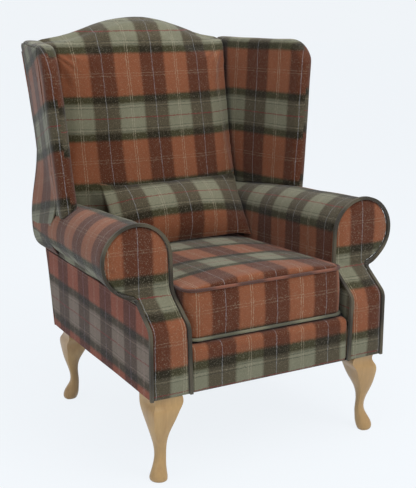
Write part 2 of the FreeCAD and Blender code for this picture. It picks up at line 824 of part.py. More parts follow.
def wing_cover_wire(z):
    """Where the wing's outside cover lies: from a seam behind the rolled edge to the rear."""
    centre, radius, crease, outer, inner_touch, outer_touch = wing_points(z)
    share = size.wing_seam_setback / math.hypot(outer[0] - outer_touch[0],
                                                outer[1] - outer_touch[1])
    seam = (outer_touch[0] + (outer[0] - outer_touch[0]) * share,
            outer_touch[1] + (outer[1] - outer_touch[1]) * share)
    behind = outer[1] + 80
    skin = size.cover_thickness
    inside = [(x - skin, y) for x, y in (seam, outer, (outer[0], behind))]
    outside = [(x + 10 * skin, y) for x, y in ((outer[0], behind), outer, seam)]
    points = [V(x, y, z) for x, y in inside + outside]
    return Part.makePolygon(points + [points[0]])


def wing_profile():
    """The wing seen from the side: rounded top front corner, raked rear edge."""
    x = size.rear_scroll_centre_x / 2
    low = size.arm_rail_top
    corner = size.wing_height - size.wing_corner_radius
    front_low = wing_front(low)[1] - 1
    front_high = wing_front(corner)[1]
    centre = (front_high + size.wing_corner_radius, corner)
    rounding = arc(centre, size.wing_corner_radius, 180, 90, lambda y, z: V(x, y, z))
    points = [rounding.Vertexes[-1].Point,
              V(x, rear_plane(size.wing_height, size.cover_thickness), size.wing_height),
              V(x, rear_plane(low, size.cover_thickness), low),
              V(x, front_low, low),
              rounding.Vertexes[0].Point]
    edges = [rounding]
    edges += [Part.makeLine(a, b) for a, b in zip(points, points[1:])]
    return Part.Face(Part.Wire(edges)).extrude(V(size.base_width, 0, 0))


def on_wing_rim(box):
    """Whether an edge belongs to the long top edges of the wing or to its front corner."""
    corner = size.wing_height - size.wing_corner_radius
    level = box.ZMin > size.wing_height - 1 and box.YLength > size.wing_corner_radius
    rounding = (box.ZMin > corner - 1 and box.ZMax > corner + size.wing_corner_radius / 2
                and box.XLength < size.wing_edge_radius)
    return level or rounding


arm_clear = arm_form(size.seam_gap, size.arm_foot_height - 60, False)
wing_side = wing_profile()
wing_whole = Part.makeLoft([wing_wire(z) for z in WING_LEVELS], True, False)
wing_whole = wing_whole.common(wing_side).cut(arm_clear).Solids[0]
wing_rim = [edge for edge in wing_whole.Edges if on_wing_rim(edge.BoundBox)]
wing_whole = wing_whole.makeFillet(size.wing_top_radius, wing_rim)
wing_skin_region = Part.makeLoft([wing_cover_wire(z) for z in WING_LEVELS], True, False)
wing_skin = wing_whole.common(wing_skin_region)

# Wing frame: an upright on the arm rail and a top rail back to the back post


def wing_post_placement():
    """The upright's foot stands on the arm rail and follows the wing's two leans."""
    foot_x, foot_y = wing_front(size.arm_rail_top)
    tilt = FreeCAD.Rotation(V(0, 1, 0), size.wing_lean)
    forward = FreeCAD.Rotation(V(1, 0, 0), -size.wing_forward_lean)
    corner = V(foot_x - size.wing_edge_radius - size.wing_post_width / 2,
               foot_y + size.wing_edge_radius, size.arm_rail_top)
    return FreeCAD.Placement(corner, tilt.multiply(forward))


WING_RAIL_TOP = size.wing_height - size.wing_rail_drop
WING_RAIL_BOTTOM = WING_RAIL_TOP - size.wing_rail_height
wing_post_height = (WING_RAIL_BOTTOM - 1 - size.arm_rail_top) / math.cos(
    math.radians(size.wing_lean))
wing_post_form = Part.makeBox(size.wing_post_width, size.wing_post_depth, wing_post_height)
floor_slice = slice_box(0, FAR, size.arm_rail_top + size.seam_gap, WING_RAIL_BOTTOM - 1)
wing_post_form.Placement = wing_post_placement()
wing_post_form = wing_post_form.common(floor_slice)
keep_pair("wing_post", shaped("right_wing_post", wing_post_form))


def wing_rail():
    """A rail along the middle of the wing's thickness, over the upright, to the back post."""
    level = WING_RAIL_BOTTOM
    front_x, front_y = wing_front(level)
    start = V(front_x - size.wing_edge_radius, front_y + size.wing_corner_radius * 0.6, level)
    end = V(rear_half_width(level) - size.wing_rear_thickness / 2 - 4,
            rear_plane(level, size.frame_front) - 1, level)
    run = end - start
    width = size.wing_post_width - 4
    rail = Part.makeBox(run.Length, width, size.wing_rail_height, V(0, -width / 2, 0))
    turn = FreeCAD.Rotation(V(0, 0, 1), math.degrees(math.atan2(run.y, run.x)))
    rail.Placement = FreeCAD.Placement(start, turn)
    return rail.cut(back_post.Shape)


doc.recompute()
wing_rail_form = wing_rail()
keep_pair("wing_rail", shaped("right_wing_rail", wing_rail_form))

frame_in_wing = [back_post.Shape, wing_post_form, wing_rail_form]
strap_zone = raked_slab(size.frame_front, size.frame_front + size.webbing_thickness,
                        size.stay_rail_level, size.wing_height,
                        size.post_outer_half + size.seam_gap)
wing_pad = wing_whole.cut(wing_skin_region).cut(strap_zone)
for member in frame_in_wing:
    wing_pad = wing_pad.cut(member)
keep_pair("wing_pad", shaped("right_wing_pad", wing_pad))
keep_pair("wing_outside_cover", shaped("right_wing_outside_cover", wing_skin.cut(
    wing_post_form)))

# Back upholstery


def back_front(z, crown):
    """World y of the inside back's face at a height, brought forward by its crown."""
    return rear_plane(z) - crease_depth(z) - crown


def back_section(x, half):
    """One upright section of the back pad, through to the rear face."""
    share = 1 - (x / half) ** 2
    top = crest_height(x)
    foot = size.back_foot_level
    bulge_level = size.seat_level + size.cushion_crown
    front_top = top - size.crest_front_radius
    top_front_y = back_front(front_top, size.back_crown_top * share)
    rear_top = top - size.crest_rear_radius
    rear_y = rear_plane(rear_top)
    radius = size.crest_rear_radius
    front_radius = size.crest_front_radius
    middle = math.cos(math.radians(45))

    def at(y, z):
        return V(x, y, z)

    rear_centre = rear_plane(rear_top) - radius / size.rake_cosine
    points = {
        "foot": at(back_front(foot, 0), foot),
        "bulge": at(back_front(bulge_level, size.back_crown * share), bulge_level),
        "front": at(top_front_y, front_top),
        "top_front": at(top_front_y + front_radius, top),
        "top_rear": at(rear_centre, top),
        "rear": at(rear_y, rear_top),
        "rear_foot": at(rear_plane(foot), foot),
    }
    front_crown = at(top_front_y + front_radius * (1 - middle), front_top + front_radius * middle)
    rear_crown = at(rear_centre + radius * middle, rear_top + radius * middle)
    order = list(points.values())
    edges = []
    names = list(points)
    for i, begin in enumerate(order):
        finish = order[(i + 1) % len(order)]
        if names[i] == "front":
            edges.append(Part.Arc(begin, front_crown, finish).toShape())
        elif names[i] == "top_rear":
            edges.append(Part.Arc(begin, rear_crown, finish).toShape())
        else:
            edges.append(Part.makeLine(begin, finish))
    return Part.Wire(edges)


def back_pad():
    half = size.shoulder_half_width - size.wing_rear_thickness + size.slide_gap
    stops = (size.hump_half_width / 2, size.hump_half_width,
             (size.hump_half_width + size.hump_shoulder_half) / 2, size.hump_shoulder_half, half)
    stations = [-x for x in reversed(stops)] + [0.0] + list(stops)
    return Part.makeLoft([back_section(x, half) for x in stations], True, False)


def left_of(shape):
    return shape.mirror(V(0, 0, 0), V(1, 0, 0))


PAD_LAYER = size.frame_front + size.webbing_thickness
frame_zone = crested_panel(-size.crest_wrap, PAD_LAYER, SWEEP_BOTTOM, FAR / 4, straight_sides,
                           size.crest_wrap)
inside_back = back_pad().cut(frame_zone)
for right_shape in (wing_whole, arm_clear, back_post.Shape):
    inside_back = inside_back.cut(right_shape).cut(left_of(right_shape))
keep("inside_back", shaped("inside_back", inside_back))
keep("outside_back", shaped("outside_back", crested_panel(
    0, size.cover_thickness, size.leg_height, size.shoulder_half_width, waisted_sides,
    UNDER_WRAP)))

# Arm upholstery: facing, piping, padded arm, outside cover

facing_layer = sweep_strip(0, size.facing_thickness, 0, FAR)
bead_layer = sweep_strip(-size.bead_proud, size.facing_bead_radius + size.cloth_thickness, 0, FAR)
facing = facing_prism(-size.facing_bead_radius).common(facing_layer)
keep_pair("arm_facing", shaped("right_arm_facing", facing))
facing_bead = facing_prism(size.facing_bead_radius).cut(facing_prism(-size.facing_bead_radius))
facing_bead = facing_bead.common(bead_layer)
keep_pair("facing_piping", shaped("right_facing_piping", facing_bead))

arm_span = behind_sweep(size.facing_bead_radius + size.cloth_thickness, size.cover_thickness,
                        0, FAR)
back_frame_zone = raked_slab(-size.back_frame_depth, PAD_LAYER, SWEEP_BOTTOM, SWEEP_TOP,
                             size.post_outer_half)
arm_pad = arm_form(0.0, size.arm_foot_height, True).common(arm_span)
for member in (facing, stump, front_rail.Shape, arm_rail.Shape, back_frame_zone, wing_post_form):
    arm_pad = arm_pad.cut(member)
keep_pair("arm_pad", shaped("right_arm_pad", arm_pad))
arm_outside = arm_span.common(slice_box(
    size.half_width - size.cover_thickness, size.half_width, size.leg_height,
    size.neck_line_height))
keep_pair("arm_outside_cover", shaped("right_arm_outside_cover", arm_outside))

# Front border: padded strip over the front rail, with a rolled lip under the cushion

border_half = "(dims.arm_inner_half - dims.facing_bead_radius - dims.seam_gap)"
border_front = "lengths.front_y + dims.bead_proud"
lip = "(lengths.rail_top + dims.border_lip_height)"
border, border_pad = outlined(
    "front_border", "YZ_Plane",
    [(border_front, "dims.leg_height"), ("lengths.front_rail_y", "dims.leg_height"),
     ("lengths.front_rail_y", "lengths.rail_top"),
     ("lengths.front_rail_y + lengths.lip_depth", "lengths.rail_top"),
     ("lengths.front_rail_y + lengths.lip_depth", lip),
     (border_front, lip)],
    "2 * " + border_half)
lip_edge = 0
for index, edge in enumerate(border_pad.Shape.Edges, start=1):
    centre = edge.CenterOfMass
    at_front = abs(centre.y - size.front_y - size.bead_proud) < 0.01
    at_lip = abs(centre.z - size.rail_top - size.border_lip_height) < 0.01
    if at_front and at_lip:
        lip_edge = index
border_roll = border.newObject("PartDesign::Fillet", "front_border_roll")
border_roll.Base = (border_pad, ["Edge%d" % lip_edge])
border_roll.setExpression("Radius", "min(dims.border_lip_radius; dims.border_lip_height * 0.95)")
keep("front_border", border)

# The seat's own frame: its origin is the front rail's upper rear edge, tilted down to the rear

seat_place = FreeCAD.Placement(V(0, size.block_front_y, size.rail_top),
                               FreeCAD.Rotation(V(1, 0, 0), -size.seat_rake))
SPRING_LEVEL = size.spring_wire / 2 + size.cloth_thickness
SEAT_REACH = (size.post_foot_y - size.block_front_y
              + (size.rear_rail_top - size.leg_height) * size.rake_run)
CLIP_DEPTH = size.rail_thickness / 2 - size.seam_gap
CLIP_BREADTH = 16
BAR_GAP = 0.05
DECK_BOTTOM = size.spring_wire + size.cloth_thickness + size.seam_gap
DECK_TOP = DECK_BOTTOM + size.deck_thickness


def zigzag_spring():
    """A zigzag spring along Y, as one wire swept along straight bars and quarter turns."""
    radius = size.spring_loop_radius
    half = size.spring_half_width - radius
    start = -CLIP_DEPTH / 2
    count = int((SEAT_REACH + CLIP_DEPTH / 2 - start) / (2 * radius)) + 1
    edges = []
    for i in range(count):
        side = 1 if i % 2 == 0 else -1
        y = start + 2 * radius * i
        edges.append(Part.makeLine(V(-side * half, y, 0), V(side * half, y, 0)))
        if i == count - 1:
            break
        middle = V(side * (half + radius), y + radius, 0)
        for a, b in ((-90, 0), (0, 90)):
            edges.append(arc((side * half, y + radius), radius,
                             a if side > 0 else 180 - a, b if side > 0 else 180 - b,
                             lambda u, v: V(u, v, 0)))
    path = Part.Wire(edges)
    section = Part.Wire(Part.makeCircle(size.spring_wire / 2, V(-half, start, 0), V(1, 0, 0)))
    return path.makePipeShell([section], True, False), start, start + 2 * radius * (count - 1)


rails_under_clips = front_rail.Shape.fuse(rear_rail.Shape)
rails_under_clips.transformShape(seat_place.inverse().toMatrix())


def spring_clip(row_x, bar_y):
    """A clip over a spring's end bar, its foot shaped to the rail under it."""
    foot = -2 * size.cloth_thickness
    height = SPRING_LEVEL + size.spring_wire / 2 + size.seam_gap / 2 - foot
    clip = Part.makeBox(CLIP_BREADTH, CLIP_DEPTH, height,
                        V(row_x - CLIP_BREADTH / 2, bar_y - CLIP_DEPTH / 2, foot))
    bore = Part.makeCylinder(size.spring_wire / 2 + BAR_GAP, 2 * CLIP_BREADTH,
                             V(row_x - CLIP_BREADTH, bar_y, SPRING_LEVEL), V(1, 0, 0))
    return clip.cut(bore).cut(rails_under_clips)


spring, spring_start, spring_end = zigzag_spring()
spring_count = int(size.spring_count)
spring_rows = [(i - (spring_count - 1) / 2) * size.spring_spacing for i in range(spring_count)]
springs = []
clips = []
for row_x in spring_rows:
    copy = spring.copy()
    copy.translate(V(row_x, 0, SPRING_LEVEL))
    springs.append(copy)
    for bar_y in (spring_start, spring_end):
        clips.append(spring_clip(row_x, bar_y))
keep("seat_springs", shaped("seat_springs", Part.makeCompound(springs), seat_place))
keep("spring_clips", shaped("spring_clips", Part.makeCompound(clips), seat_place))

deck_start = size.lip_depth + size.seam_gap - size.rail_thickness
deck_depth = SEAT_REACH - deck_start - 3 * size.slide_gap
deck = Part.makeBox(2 * size.deck_half_width, deck_depth, size.deck_thickness,
                    V(-size.deck_half_width, deck_start, DECK_BOTTOM))
keep("seat_deck", shaped("seat_deck", deck, seat_place))

# Loose seat cushion, in the seat's frame: boxed, crowned, piped at both seams

CUSHION_BOTTOM = DECK_TOP + size.seam_gap
CUSHION_TOP = CUSHION_BOTTOM + size.cushion_height
CUSHION_FRONT = size.cushion_setback - size.front_padding - size.rail_thickness
CUSHION_REAR = CUSHION_FRONT + size.cushion_depth


def cushion_wire(z, out):
    """The cushion's plan outline at a level, moved outwards by out."""
    half = size.cushion_half_width + out
    radius = size.cushion_corner_radius + out
    front = CUSHION_FRONT - out
    rear = CUSHION_REAR + out
    corners = ((half - radius, rear - radius, 0), (radius - half, rear - radius, 90),
               (radius - half, front + radius, 180), (half - radius, front + radius, 270))
    edges = []
    for i, (x, y, start) in enumerate(corners):
        corner = arc((x, y), radius, start, start + 90, lambda u, v: V(u, v, z))
        edges.append(corner)
        x_next, y_next, turn = corners[(i + 1) % 4]
        following = arc((x_next, y_next), radius, turn, turn + 90, lambda u, v: V(u, v, z))
        edges.append(Part.makeLine(corner.Vertexes[-1].Point, following.Vertexes[0].Point))
    return Part.Wire(edges)


def crown_prism(half_span, centre, along, length):
    """A prism with a domed top, as wide as the span, swept along the other direction."""
    low = CUSHION_BOTTOM - 1
    margin = half_span + 2 * size.cushion_side_swell

    def at(u, z):
        if along.y:
            return V(u, CUSHION_FRONT - 20, z)
        return V(-size.cushion_half_width - 20, centre + u, z)

    points = [at(-margin, CUSHION_TOP - 0.5), at(-margin, low), at(margin, low),
              at(margin, CUSHION_TOP - 0.5)]
    edges = [Part.makeLine(a, b) for a, b in zip(points, points[1:])]
    edges.append(Part.Arc(points[-1], at(0, CUSHION_TOP + size.cushion_crown),
                          points[0]).toShape())
    return Part.Face(Part.Wire(edges)).extrude(along * length)


def bead_ring(z):
    """Piping round the cushion at a level, just outside its seam."""
    path = cushion_wire(z, size.cushion_bead_out)
    start = path.Edges[1].Vertexes[0].Point
    section = Part.Wire(Part.makeCircle(size.cushion_bead_radius, start, V(1, 0, 0)))
    ordered = Part.Wire(path.Edges[1:] + path.Edges[:1])
    return ordered.makePipeShell([section], True, False)


boxing = Part.makeLoft([
    cushion_wire(CUSHION_BOTTOM, 0.0),
    cushion_wire((CUSHION_BOTTOM + CUSHION_TOP) / 2, size.cushion_side_swell),
    cushion_wire(CUSHION_TOP, 0.0)], True, False)
dome = Part.Face(cushion_wire(CUSHION_TOP, 0.0)).extrude(V(0, 0, size.cushion_crown + 2))
cushion = boxing.fuse(dome).removeSplitter()
middle_y = (CUSHION_FRONT + CUSHION_REAR) / 2
cushion = cushion.common(crown_prism(size.cushion_half_width, 0, V(0, 1, 0),
                                     size.cushion_depth + 40))
cushion = cushion.common(crown_prism(size.cushion_depth / 2, middle_y, V(1, 0, 0),
                                     2 * size.cushion_half_width + 40))
top_bead = bead_ring(CUSHION_TOP - size.cushion_bead_radius)
bottom_bead = bead_ring(CUSHION_BOTTOM + size.cushion_bead_radius)
cushion = cushion.cut(top_bead).cut(bottom_bead)
keep("seat_cushion", shaped("seat_cushion", cushion, seat_place))
keep("seat_cushion_top_piping", shaped("seat_cushion_top_piping", top_bead, seat_place))
keep("seat_cushion_bottom_piping", shaped("seat_cushion_bottom_piping", bottom_bead, seat_place))

# Loose lumbar cushion: a knife-edge pillow with four ears, leaning on the back


def lumbar_wire(share):
    """A lens-shaped section at a share of the half width, from -1 to 1."""
    fullness = 1 - abs(share) ** 2.6
    tall = size.lumbar_half_height + size.lumbar_ear * abs(share) ** 4
    front = size.lumbar_front_swell * fullness + 5
    rear = size.lumbar_rear_swell * fullness + 5
    x = size.lumbar_half_width * share
    top = V(x, 0, tall)
    bottom = V(x, 0, -tall)
    return Part.Wire([Part.Arc(bottom, V(x, -front, 0), top).toShape(),
                      Part.Arc(top, V(x, rear, 0), bottom).toShape()])


lumbar = Part.makeLoft([lumbar_wire(share) for share in (-1, -0.86, -0.5, 0, 0.5, 0.86, 1)],
                       True, False)
lumbar_turn = FreeCAD.Rotation(V(1, 0, 0), -size.lumbar_lean)


def slid_until_near(shape, direction, neighbour, gap):
    """Move a shape along a direction until it is a gap away from its neighbour."""
    for step in range(20):
        spare = shape.distToShape(neighbour)[0] - gap
        if spare < size.seam_gap / 10:
            break
        shape.translate(direction * spare)


lumbar.Placement = FreeCAD.Placement(V(size.lumbar_offset_x, 0, 0), lumbar_turn)
seat_high = seat_place.multVec(V(0, CUSHION_REAR, CUSHION_TOP + size.cushion_crown)).z
back_near = back_front(seat_high, size.back_crown)
lumbar.translate(V(0, back_near - lumbar.BoundBox.YMax - size.lumbar_front_swell,
                   seat_high - lumbar.BoundBox.ZMin + size.lumbar_front_swell))
seat_surface = cushion.copy()
seat_surface.Placement = seat_place
for towards, neighbour, gap in ((V(0, 0, -1), seat_surface, size.slide_gap),
                                (V(0, 1, 0), inside_back, 2 * size.slide_gap),
                                (V(0, 0, -1), seat_surface, size.seam_gap)):
    slid_until_near(lumbar, towards, neighbour, gap)
lumbar_place = lumbar.Placement
lumbar.Placement = FreeCAD.Placement()
keep("lumbar_cushion", shaped("lumbar_cushion", lumbar, lumbar_place))

# Test every object, then write each sub-part to its own file

doc.recompute()
for obj in doc.Objects:
    bad = [state for state in obj.State if state in ("Invalid", "Error")]
    if bad:
        raise RuntimeError("%s failed: %s" % (obj.Label, bad))
for name, obj in NODES.items():
    shape = obj.Shape
    if shape.isNull() or not shape.isValid() or shape.Volume <= 0:
        raise RuntimeError(name + " has no valid solid")

os.makedirs("parts", exist_ok=True)
for name, obj in NODES.items():
    obj.Shape.exportStep("parts/%s.step" % name)
    print("%-28s solids %2d volume %10.0f" % (name, len(obj.Shape.Solids), obj.Shape.Volume))
print(len(NODES), "sub-parts")
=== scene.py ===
import math

import bpy
import numpy as np
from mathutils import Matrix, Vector, noise


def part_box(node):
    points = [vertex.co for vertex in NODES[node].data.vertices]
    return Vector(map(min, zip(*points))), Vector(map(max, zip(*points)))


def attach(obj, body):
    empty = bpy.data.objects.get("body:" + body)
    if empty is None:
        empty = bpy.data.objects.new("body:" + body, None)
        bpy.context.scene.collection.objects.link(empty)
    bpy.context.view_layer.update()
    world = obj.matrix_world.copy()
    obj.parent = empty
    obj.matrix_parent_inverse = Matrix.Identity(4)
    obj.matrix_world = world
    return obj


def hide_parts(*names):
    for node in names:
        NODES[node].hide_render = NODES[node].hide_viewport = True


# Looks of a high-backed fireside wing chair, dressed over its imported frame. Metres.
# The chair faces -Y, +X is the right-hand side of someone who looks at its front.

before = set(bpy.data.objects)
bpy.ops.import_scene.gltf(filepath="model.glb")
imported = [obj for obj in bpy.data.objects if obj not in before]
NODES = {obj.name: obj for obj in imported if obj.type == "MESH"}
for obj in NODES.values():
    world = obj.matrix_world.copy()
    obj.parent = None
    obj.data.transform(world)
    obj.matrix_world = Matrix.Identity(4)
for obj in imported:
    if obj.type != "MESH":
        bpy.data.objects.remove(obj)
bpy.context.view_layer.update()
scene = bpy.context.scene
WEAVE = "weave"

# The cloth is a twill check. One repeat runs across the warp stripes and one along the weft bands.
WARP_REPEAT = 0.155
WEFT_REPEAT = 0.248


# Shader maths

class Value:
    """A number that changes over a surface. Arithmetic on it adds Math nodes."""

    def __init__(self, finish, socket):
        self.finish = finish
        self.socket = socket

    def maths(self, operation, *others, clamp=False):
        settings = {"operation": operation, "use_clamp": clamp}
        inputs = {place: other for place, other in enumerate((self, *others))}
        return self.finish.node("ShaderNodeMath", settings, inputs)

    def __add__(self, other):
        return self.maths("ADD", other)

    def __sub__(self, other):
        return self.maths("SUBTRACT", other)

    def __mul__(self, other):
        return self.maths("MULTIPLY", other)

    def __radd__(self, other):
        return self.maths("ADD", other)

    def __rmul__(self, other):
        return self.maths("MULTIPLY", other)

    def __rsub__(self, other):
        return (self * -1).maths("ADD", other)

    def from_middle(self):
        """How far a place is from the nearest whole repeat: 0 on it and 1 half a repeat away."""
        return self.maths("PINGPONG", 0.5) * 2

    def line(self, centre, half, blur=0.006):
        """1 on a thread line at centre, fading to 0 over blur beyond its half width."""
        away = (self - centre).maths("ABSOLUTE")
        return ((half + blur / 2) - away).maths("MULTIPLY", 1 / blur, clamp=True)

    def wave(self, turns):
        return (self * (turns * math.tau)).maths("SINE")


class Finish:
    """A material and the one way its nodes are added."""

    def __init__(self, name):
        self.material = bpy.data.materials.new(name)
        self.material.use_nodes = True
        self.tree = self.material.node_tree
        self.tree.nodes.clear()

    def node(self, kind, settings, inputs, output=0):
        made = self.tree.nodes.new(kind)
        for name, setting in settings.items():
            if name == "stops":
                self.set_stops(made.color_ramp, setting)
            else:
                setattr(made, name, setting)
        for socket, value in inputs.items():
            if isinstance(value, Value):
                self.tree.links.new(value.socket, made.inputs[socket])
            else:
                made.inputs[socket].default_value = value
        return Value(self, made.outputs[output]) if made.outputs else made

    def set_stops(self, ramp, stops):
        while len(ramp.elements) > 1:
            ramp.elements.remove(ramp.elements[-1])
        for place, (position, colour) in enumerate(stops):
            element = ramp.elements[0] if place == 0 else ramp.elements.new(position)
            element.position = position
            element.color = (*colour, 1)

    def place(self):
        return self.node("ShaderNodeTexCoord", {}, {}, "Object")

    def stretched(self, scale):
        return self.node("ShaderNodeMapping", {}, {"Vector": self.place(), "Scale": scale})

    def speckle(self, scale, detail=2, where=None):
        inputs = {"Vector": where or self.place(), "Scale": scale, "Detail": detail}
        return self.node("ShaderNodeTexNoise", {}, inputs, "Fac")

    def ramp(self, factor, stops):
        return self.node("ShaderNodeValToRGB", {"stops": stops}, {"Fac": factor}, "Color")

    def mixed(self, factor, below, above, blend="MIX"):
        settings = {"data_type": "RGBA", "blend_type": blend}
        inputs = {"Factor": factor, 6: rgba(below), 7: rgba(above)}
        return self.node("ShaderNodeMix", settings, inputs, 2)

    def scaled(self, colour, amount):
        settings = {"operation": "SCALE"}
        return self.node("ShaderNodeVectorMath", settings, {0: colour, "Scale": amount})

    def bumped(self, height, distance, strength=1.0):
        inputs = {"Height": height, "Distance": distance, "Strength": strength}
        return self.node("ShaderNodeBump", {}, inputs)

    def shaded(self, colour, roughness, normal=None, **others):
        inputs = {"Base Color": rgba(colour), "Roughness": roughness}
        inputs.update({name.replace("_", " "): value for name, value in others.items()})
        if normal is not None:
            inputs["Normal"] = normal
        surface = self.node("ShaderNodeBsdfPrincipled", {}, inputs)
        self.node("ShaderNodeOutputMaterial", {}, {"Surface": surface})
        return self.material


def rgba(colour):
    return colour if isinstance(colour, Value) else (*colour, 1)


# Finishes

TERRACOTTA = (0.235, 0.076, 0.032)
DARK_GREEN = (0.044, 0.040, 0.016)
GREY_GREEN = (0.190, 0.186, 0.124)
DARK_WARP = (0.40, 0.33, 0.29)
PALE_THREAD = (0.40, 0.35, 0.25)
WHITE_THREAD = (0.42, 0.44, 0.47)
RED_THREAD = (0.17, 0.022, 0.022)
BLACK_GREEN_THREAD = (0.025, 0.027, 0.019)

# Where the bands end, as shares of half a repeat
TERRACOTTA_END = 0.48
DARK_GREEN_END = 0.66
LIGHT_WARP_END = 0.52
SOFT_EDGE = 0.035


def checked_cloth(name, painted_shade_tint=(1, 1, 1)):
    """Wool twill: light and dark warp stripes over terracotta, dark green and grey-green bands, the
    whole multiplied by a tint that is painted shade.
    """
    cloth = Finish(name)
    uv = cloth.node("ShaderNodeUVMap", {"uv_map": WEAVE}, {})
    split = {"Vector": uv}
    across = cloth.node("ShaderNodeSeparateXYZ", {}, split, "X")
    along = cloth.node("ShaderNodeSeparateXYZ", {}, split, "Y")
    brushed = cloth.speckle(160, 3)
    drift = (cloth.speckle(7, 1) - 0.5) * 0.04 + (brushed - 0.5) * 0.03
    warp = (across + drift).from_middle()
    weft = (along + (cloth.speckle(6, 1) - 0.5) * 0.03 + (brushed - 0.5) * 0.025).from_middle()

    bands = cloth.ramp(weft, [
        (0, TERRACOTTA), (TERRACOTTA_END - SOFT_EDGE, TERRACOTTA),
        (TERRACOTTA_END + SOFT_EDGE, DARK_GREEN), (DARK_GREEN_END - SOFT_EDGE, DARK_GREEN),
        (DARK_GREEN_END + SOFT_EDGE, GREY_GREEN), (1, GREY_GREEN)])
    stripes = cloth.ramp(warp, [
        (0, (1, 1, 1)), (LIGHT_WARP_END - 2 * SOFT_EDGE, (1, 1, 1)),
        (LIGHT_WARP_END + SOFT_EDGE, DARK_WARP), (1, DARK_WARP)])
    colour = cloth.mixed(1.0, bands, stripes, "MULTIPLY")
    broken = (cloth.speckle(260, 2) * 2.6 - 0.75).maths("MULTIPLY", 1.0, clamp=True)
    colour = cloth.mixed(weft.line(0.030, 0.005, 0.01) * broken * 0.42, colour, PALE_THREAD)
    for edge in (DARK_GREEN_END + 0.035, DARK_GREEN_END + 0.105):
        colour = cloth.mixed(weft.line(edge, 0.006) * 0.6, colour, BLACK_GREEN_THREAD)
    colour = cloth.mixed(weft.line(DARK_GREEN_END + 0.07, 0.006) * broken * 0.4, colour,
                         PALE_THREAD)
    colour = cloth.mixed(weft.line(1.0, 0.011) * 0.75, colour, RED_THREAD)
    colour = cloth.mixed(warp.line(0.042, 0.010, 0.014) * broken * 0.75, colour, PALE_THREAD)
    colour = cloth.mixed(warp.line(1.0, 0.008, 0.016) * (broken * 0.5 + 0.15), colour,
                         WHITE_THREAD)
    flecks = (cloth.speckle(420, 2) - 0.56).maths("MULTIPLY", 2.2, clamp=True)
    colour = cloth.mixed(flecks, colour, PALE_THREAD)
    # Multiplies the whole cloth by the tint: painted shade on the copy for sides turned from the
    # light, no change at (1, 1, 1).
    colour = cloth.mixed(1.0, colour, painted_shade_tint, "MULTIPLY")

    twill = (across * (WARP_REPEAT / 0.0032) + along * (WEFT_REPEAT / 0.0032)).wave(1)
    fibres = cloth.speckle(900, 2)
    worn = cloth.speckle(9, 3)
    shade = 0.44 + fibres * 0.44 + brushed * 0.28 + twill * 0.04 + worn * 0.26
    fuzz = cloth.bumped(twill * 0.35 + fibres, 0.0006, 0.55)
    return cloth.shaded(cloth.scaled(colour, shade), 0.86 + fibres * 0.1, fuzz,
                        Sheen_Weight=0.18, Sheen_Roughness=0.45,
                        Specular_IOR_Level=0.2)


def piping_cloth(name, light, dark, turns):
    """Bias-cut strips of the check over a cord: slanting light and dark patches."""
    cloth = Finish(name)
    slant = cloth.node("ShaderNodeVectorMath", {"operation": "DOT_PRODUCT"},
                       {0: cloth.place(), 1: (1.0, 0.8, 0.7)}, "Value")
    patches = (slant + cloth.speckle(20, 1) * 0.02).wave(turns)
    fibres = cloth.speckle(900, 2)
    twist = slant.wave(260)
    blend = (patches * 0.9 + 0.45).maths("MULTIPLY", 1.0, clamp=True)
    colour = cloth.mixed(blend, dark, light)
    shade = 0.72 + fibres * 0.4 + twist * 0.06
    return cloth.shaded(cloth.scaled(colour, shade), 0.9, cloth.bumped(twist + fibres, 0.0004),
                        Sheen_Weight=0.15)


def timber(name, light, dark, roughness, coat, grain_scale):
    """Straight-grained hardwood: long streaks, growth bands and fine pores."""
    wood = Finish(name)
    streaks = wood.speckle(1, 4, wood.stretched(grain_scale))
    figure = wood.speckle(3, 2, wood.stretched((1, 1, 0.25)))
    bands = (figure * 9 + streaks * 2).wave(1) * 0.5 + 0.5
    pores = wood.speckle(1, 2, wood.stretched(tuple(6 * s for s in grain_scale)))
    blend = (streaks * 0.75 + bands * 0.25).maths("MULTIPLY", 1.0, clamp=True)
    colour = wood.mixed(blend, dark, light)
    shade = 0.86 + pores * 0.26
    return wood.shaded(wood.scaled(colour, shade), roughness + streaks * 0.12,
                       wood.bumped(pores + streaks, 0.0003, 0.5), Coat_Weight=coat,
                       Coat_Roughness=0.3)


def plain_cloth(name, colour, thread, gloss=0.9):
    """A plain-woven lining or webbing with its threads crossing."""
    cloth = Finish(name)
    here = {"Vector": cloth.place()}
    x = cloth.node("ShaderNodeSeparateXYZ", {}, here, "X")
    y = cloth.node("ShaderNodeSeparateXYZ", {}, here, "Y")
    threads = x.wave(1 / thread) * y.wave(1 / thread)
    fibres = cloth.speckle(700, 2)
    shade = 0.75 + threads * 0.12 + fibres * 0.35 + cloth.speckle(14, 2) * 0.15
    return cloth.shaded(cloth.scaled(rgba(colour)[:3], shade), gloss,
                        cloth.bumped(threads + fibres, 0.0004))


def metal(name, colour, roughness, scale):
    """Drawn or plated steel with fine scratches."""
    steel = Finish(name)
    scratches = steel.speckle(1, 3, steel.stretched(scale))
    patina = steel.speckle(40, 3)
    shade = 0.8 + patina * 0.3
    return steel.shaded(steel.scaled(colour, shade), roughness + scratches * 0.2,
                        steel.bumped(scratches, 0.0002, 0.4), Metallic=1.0)


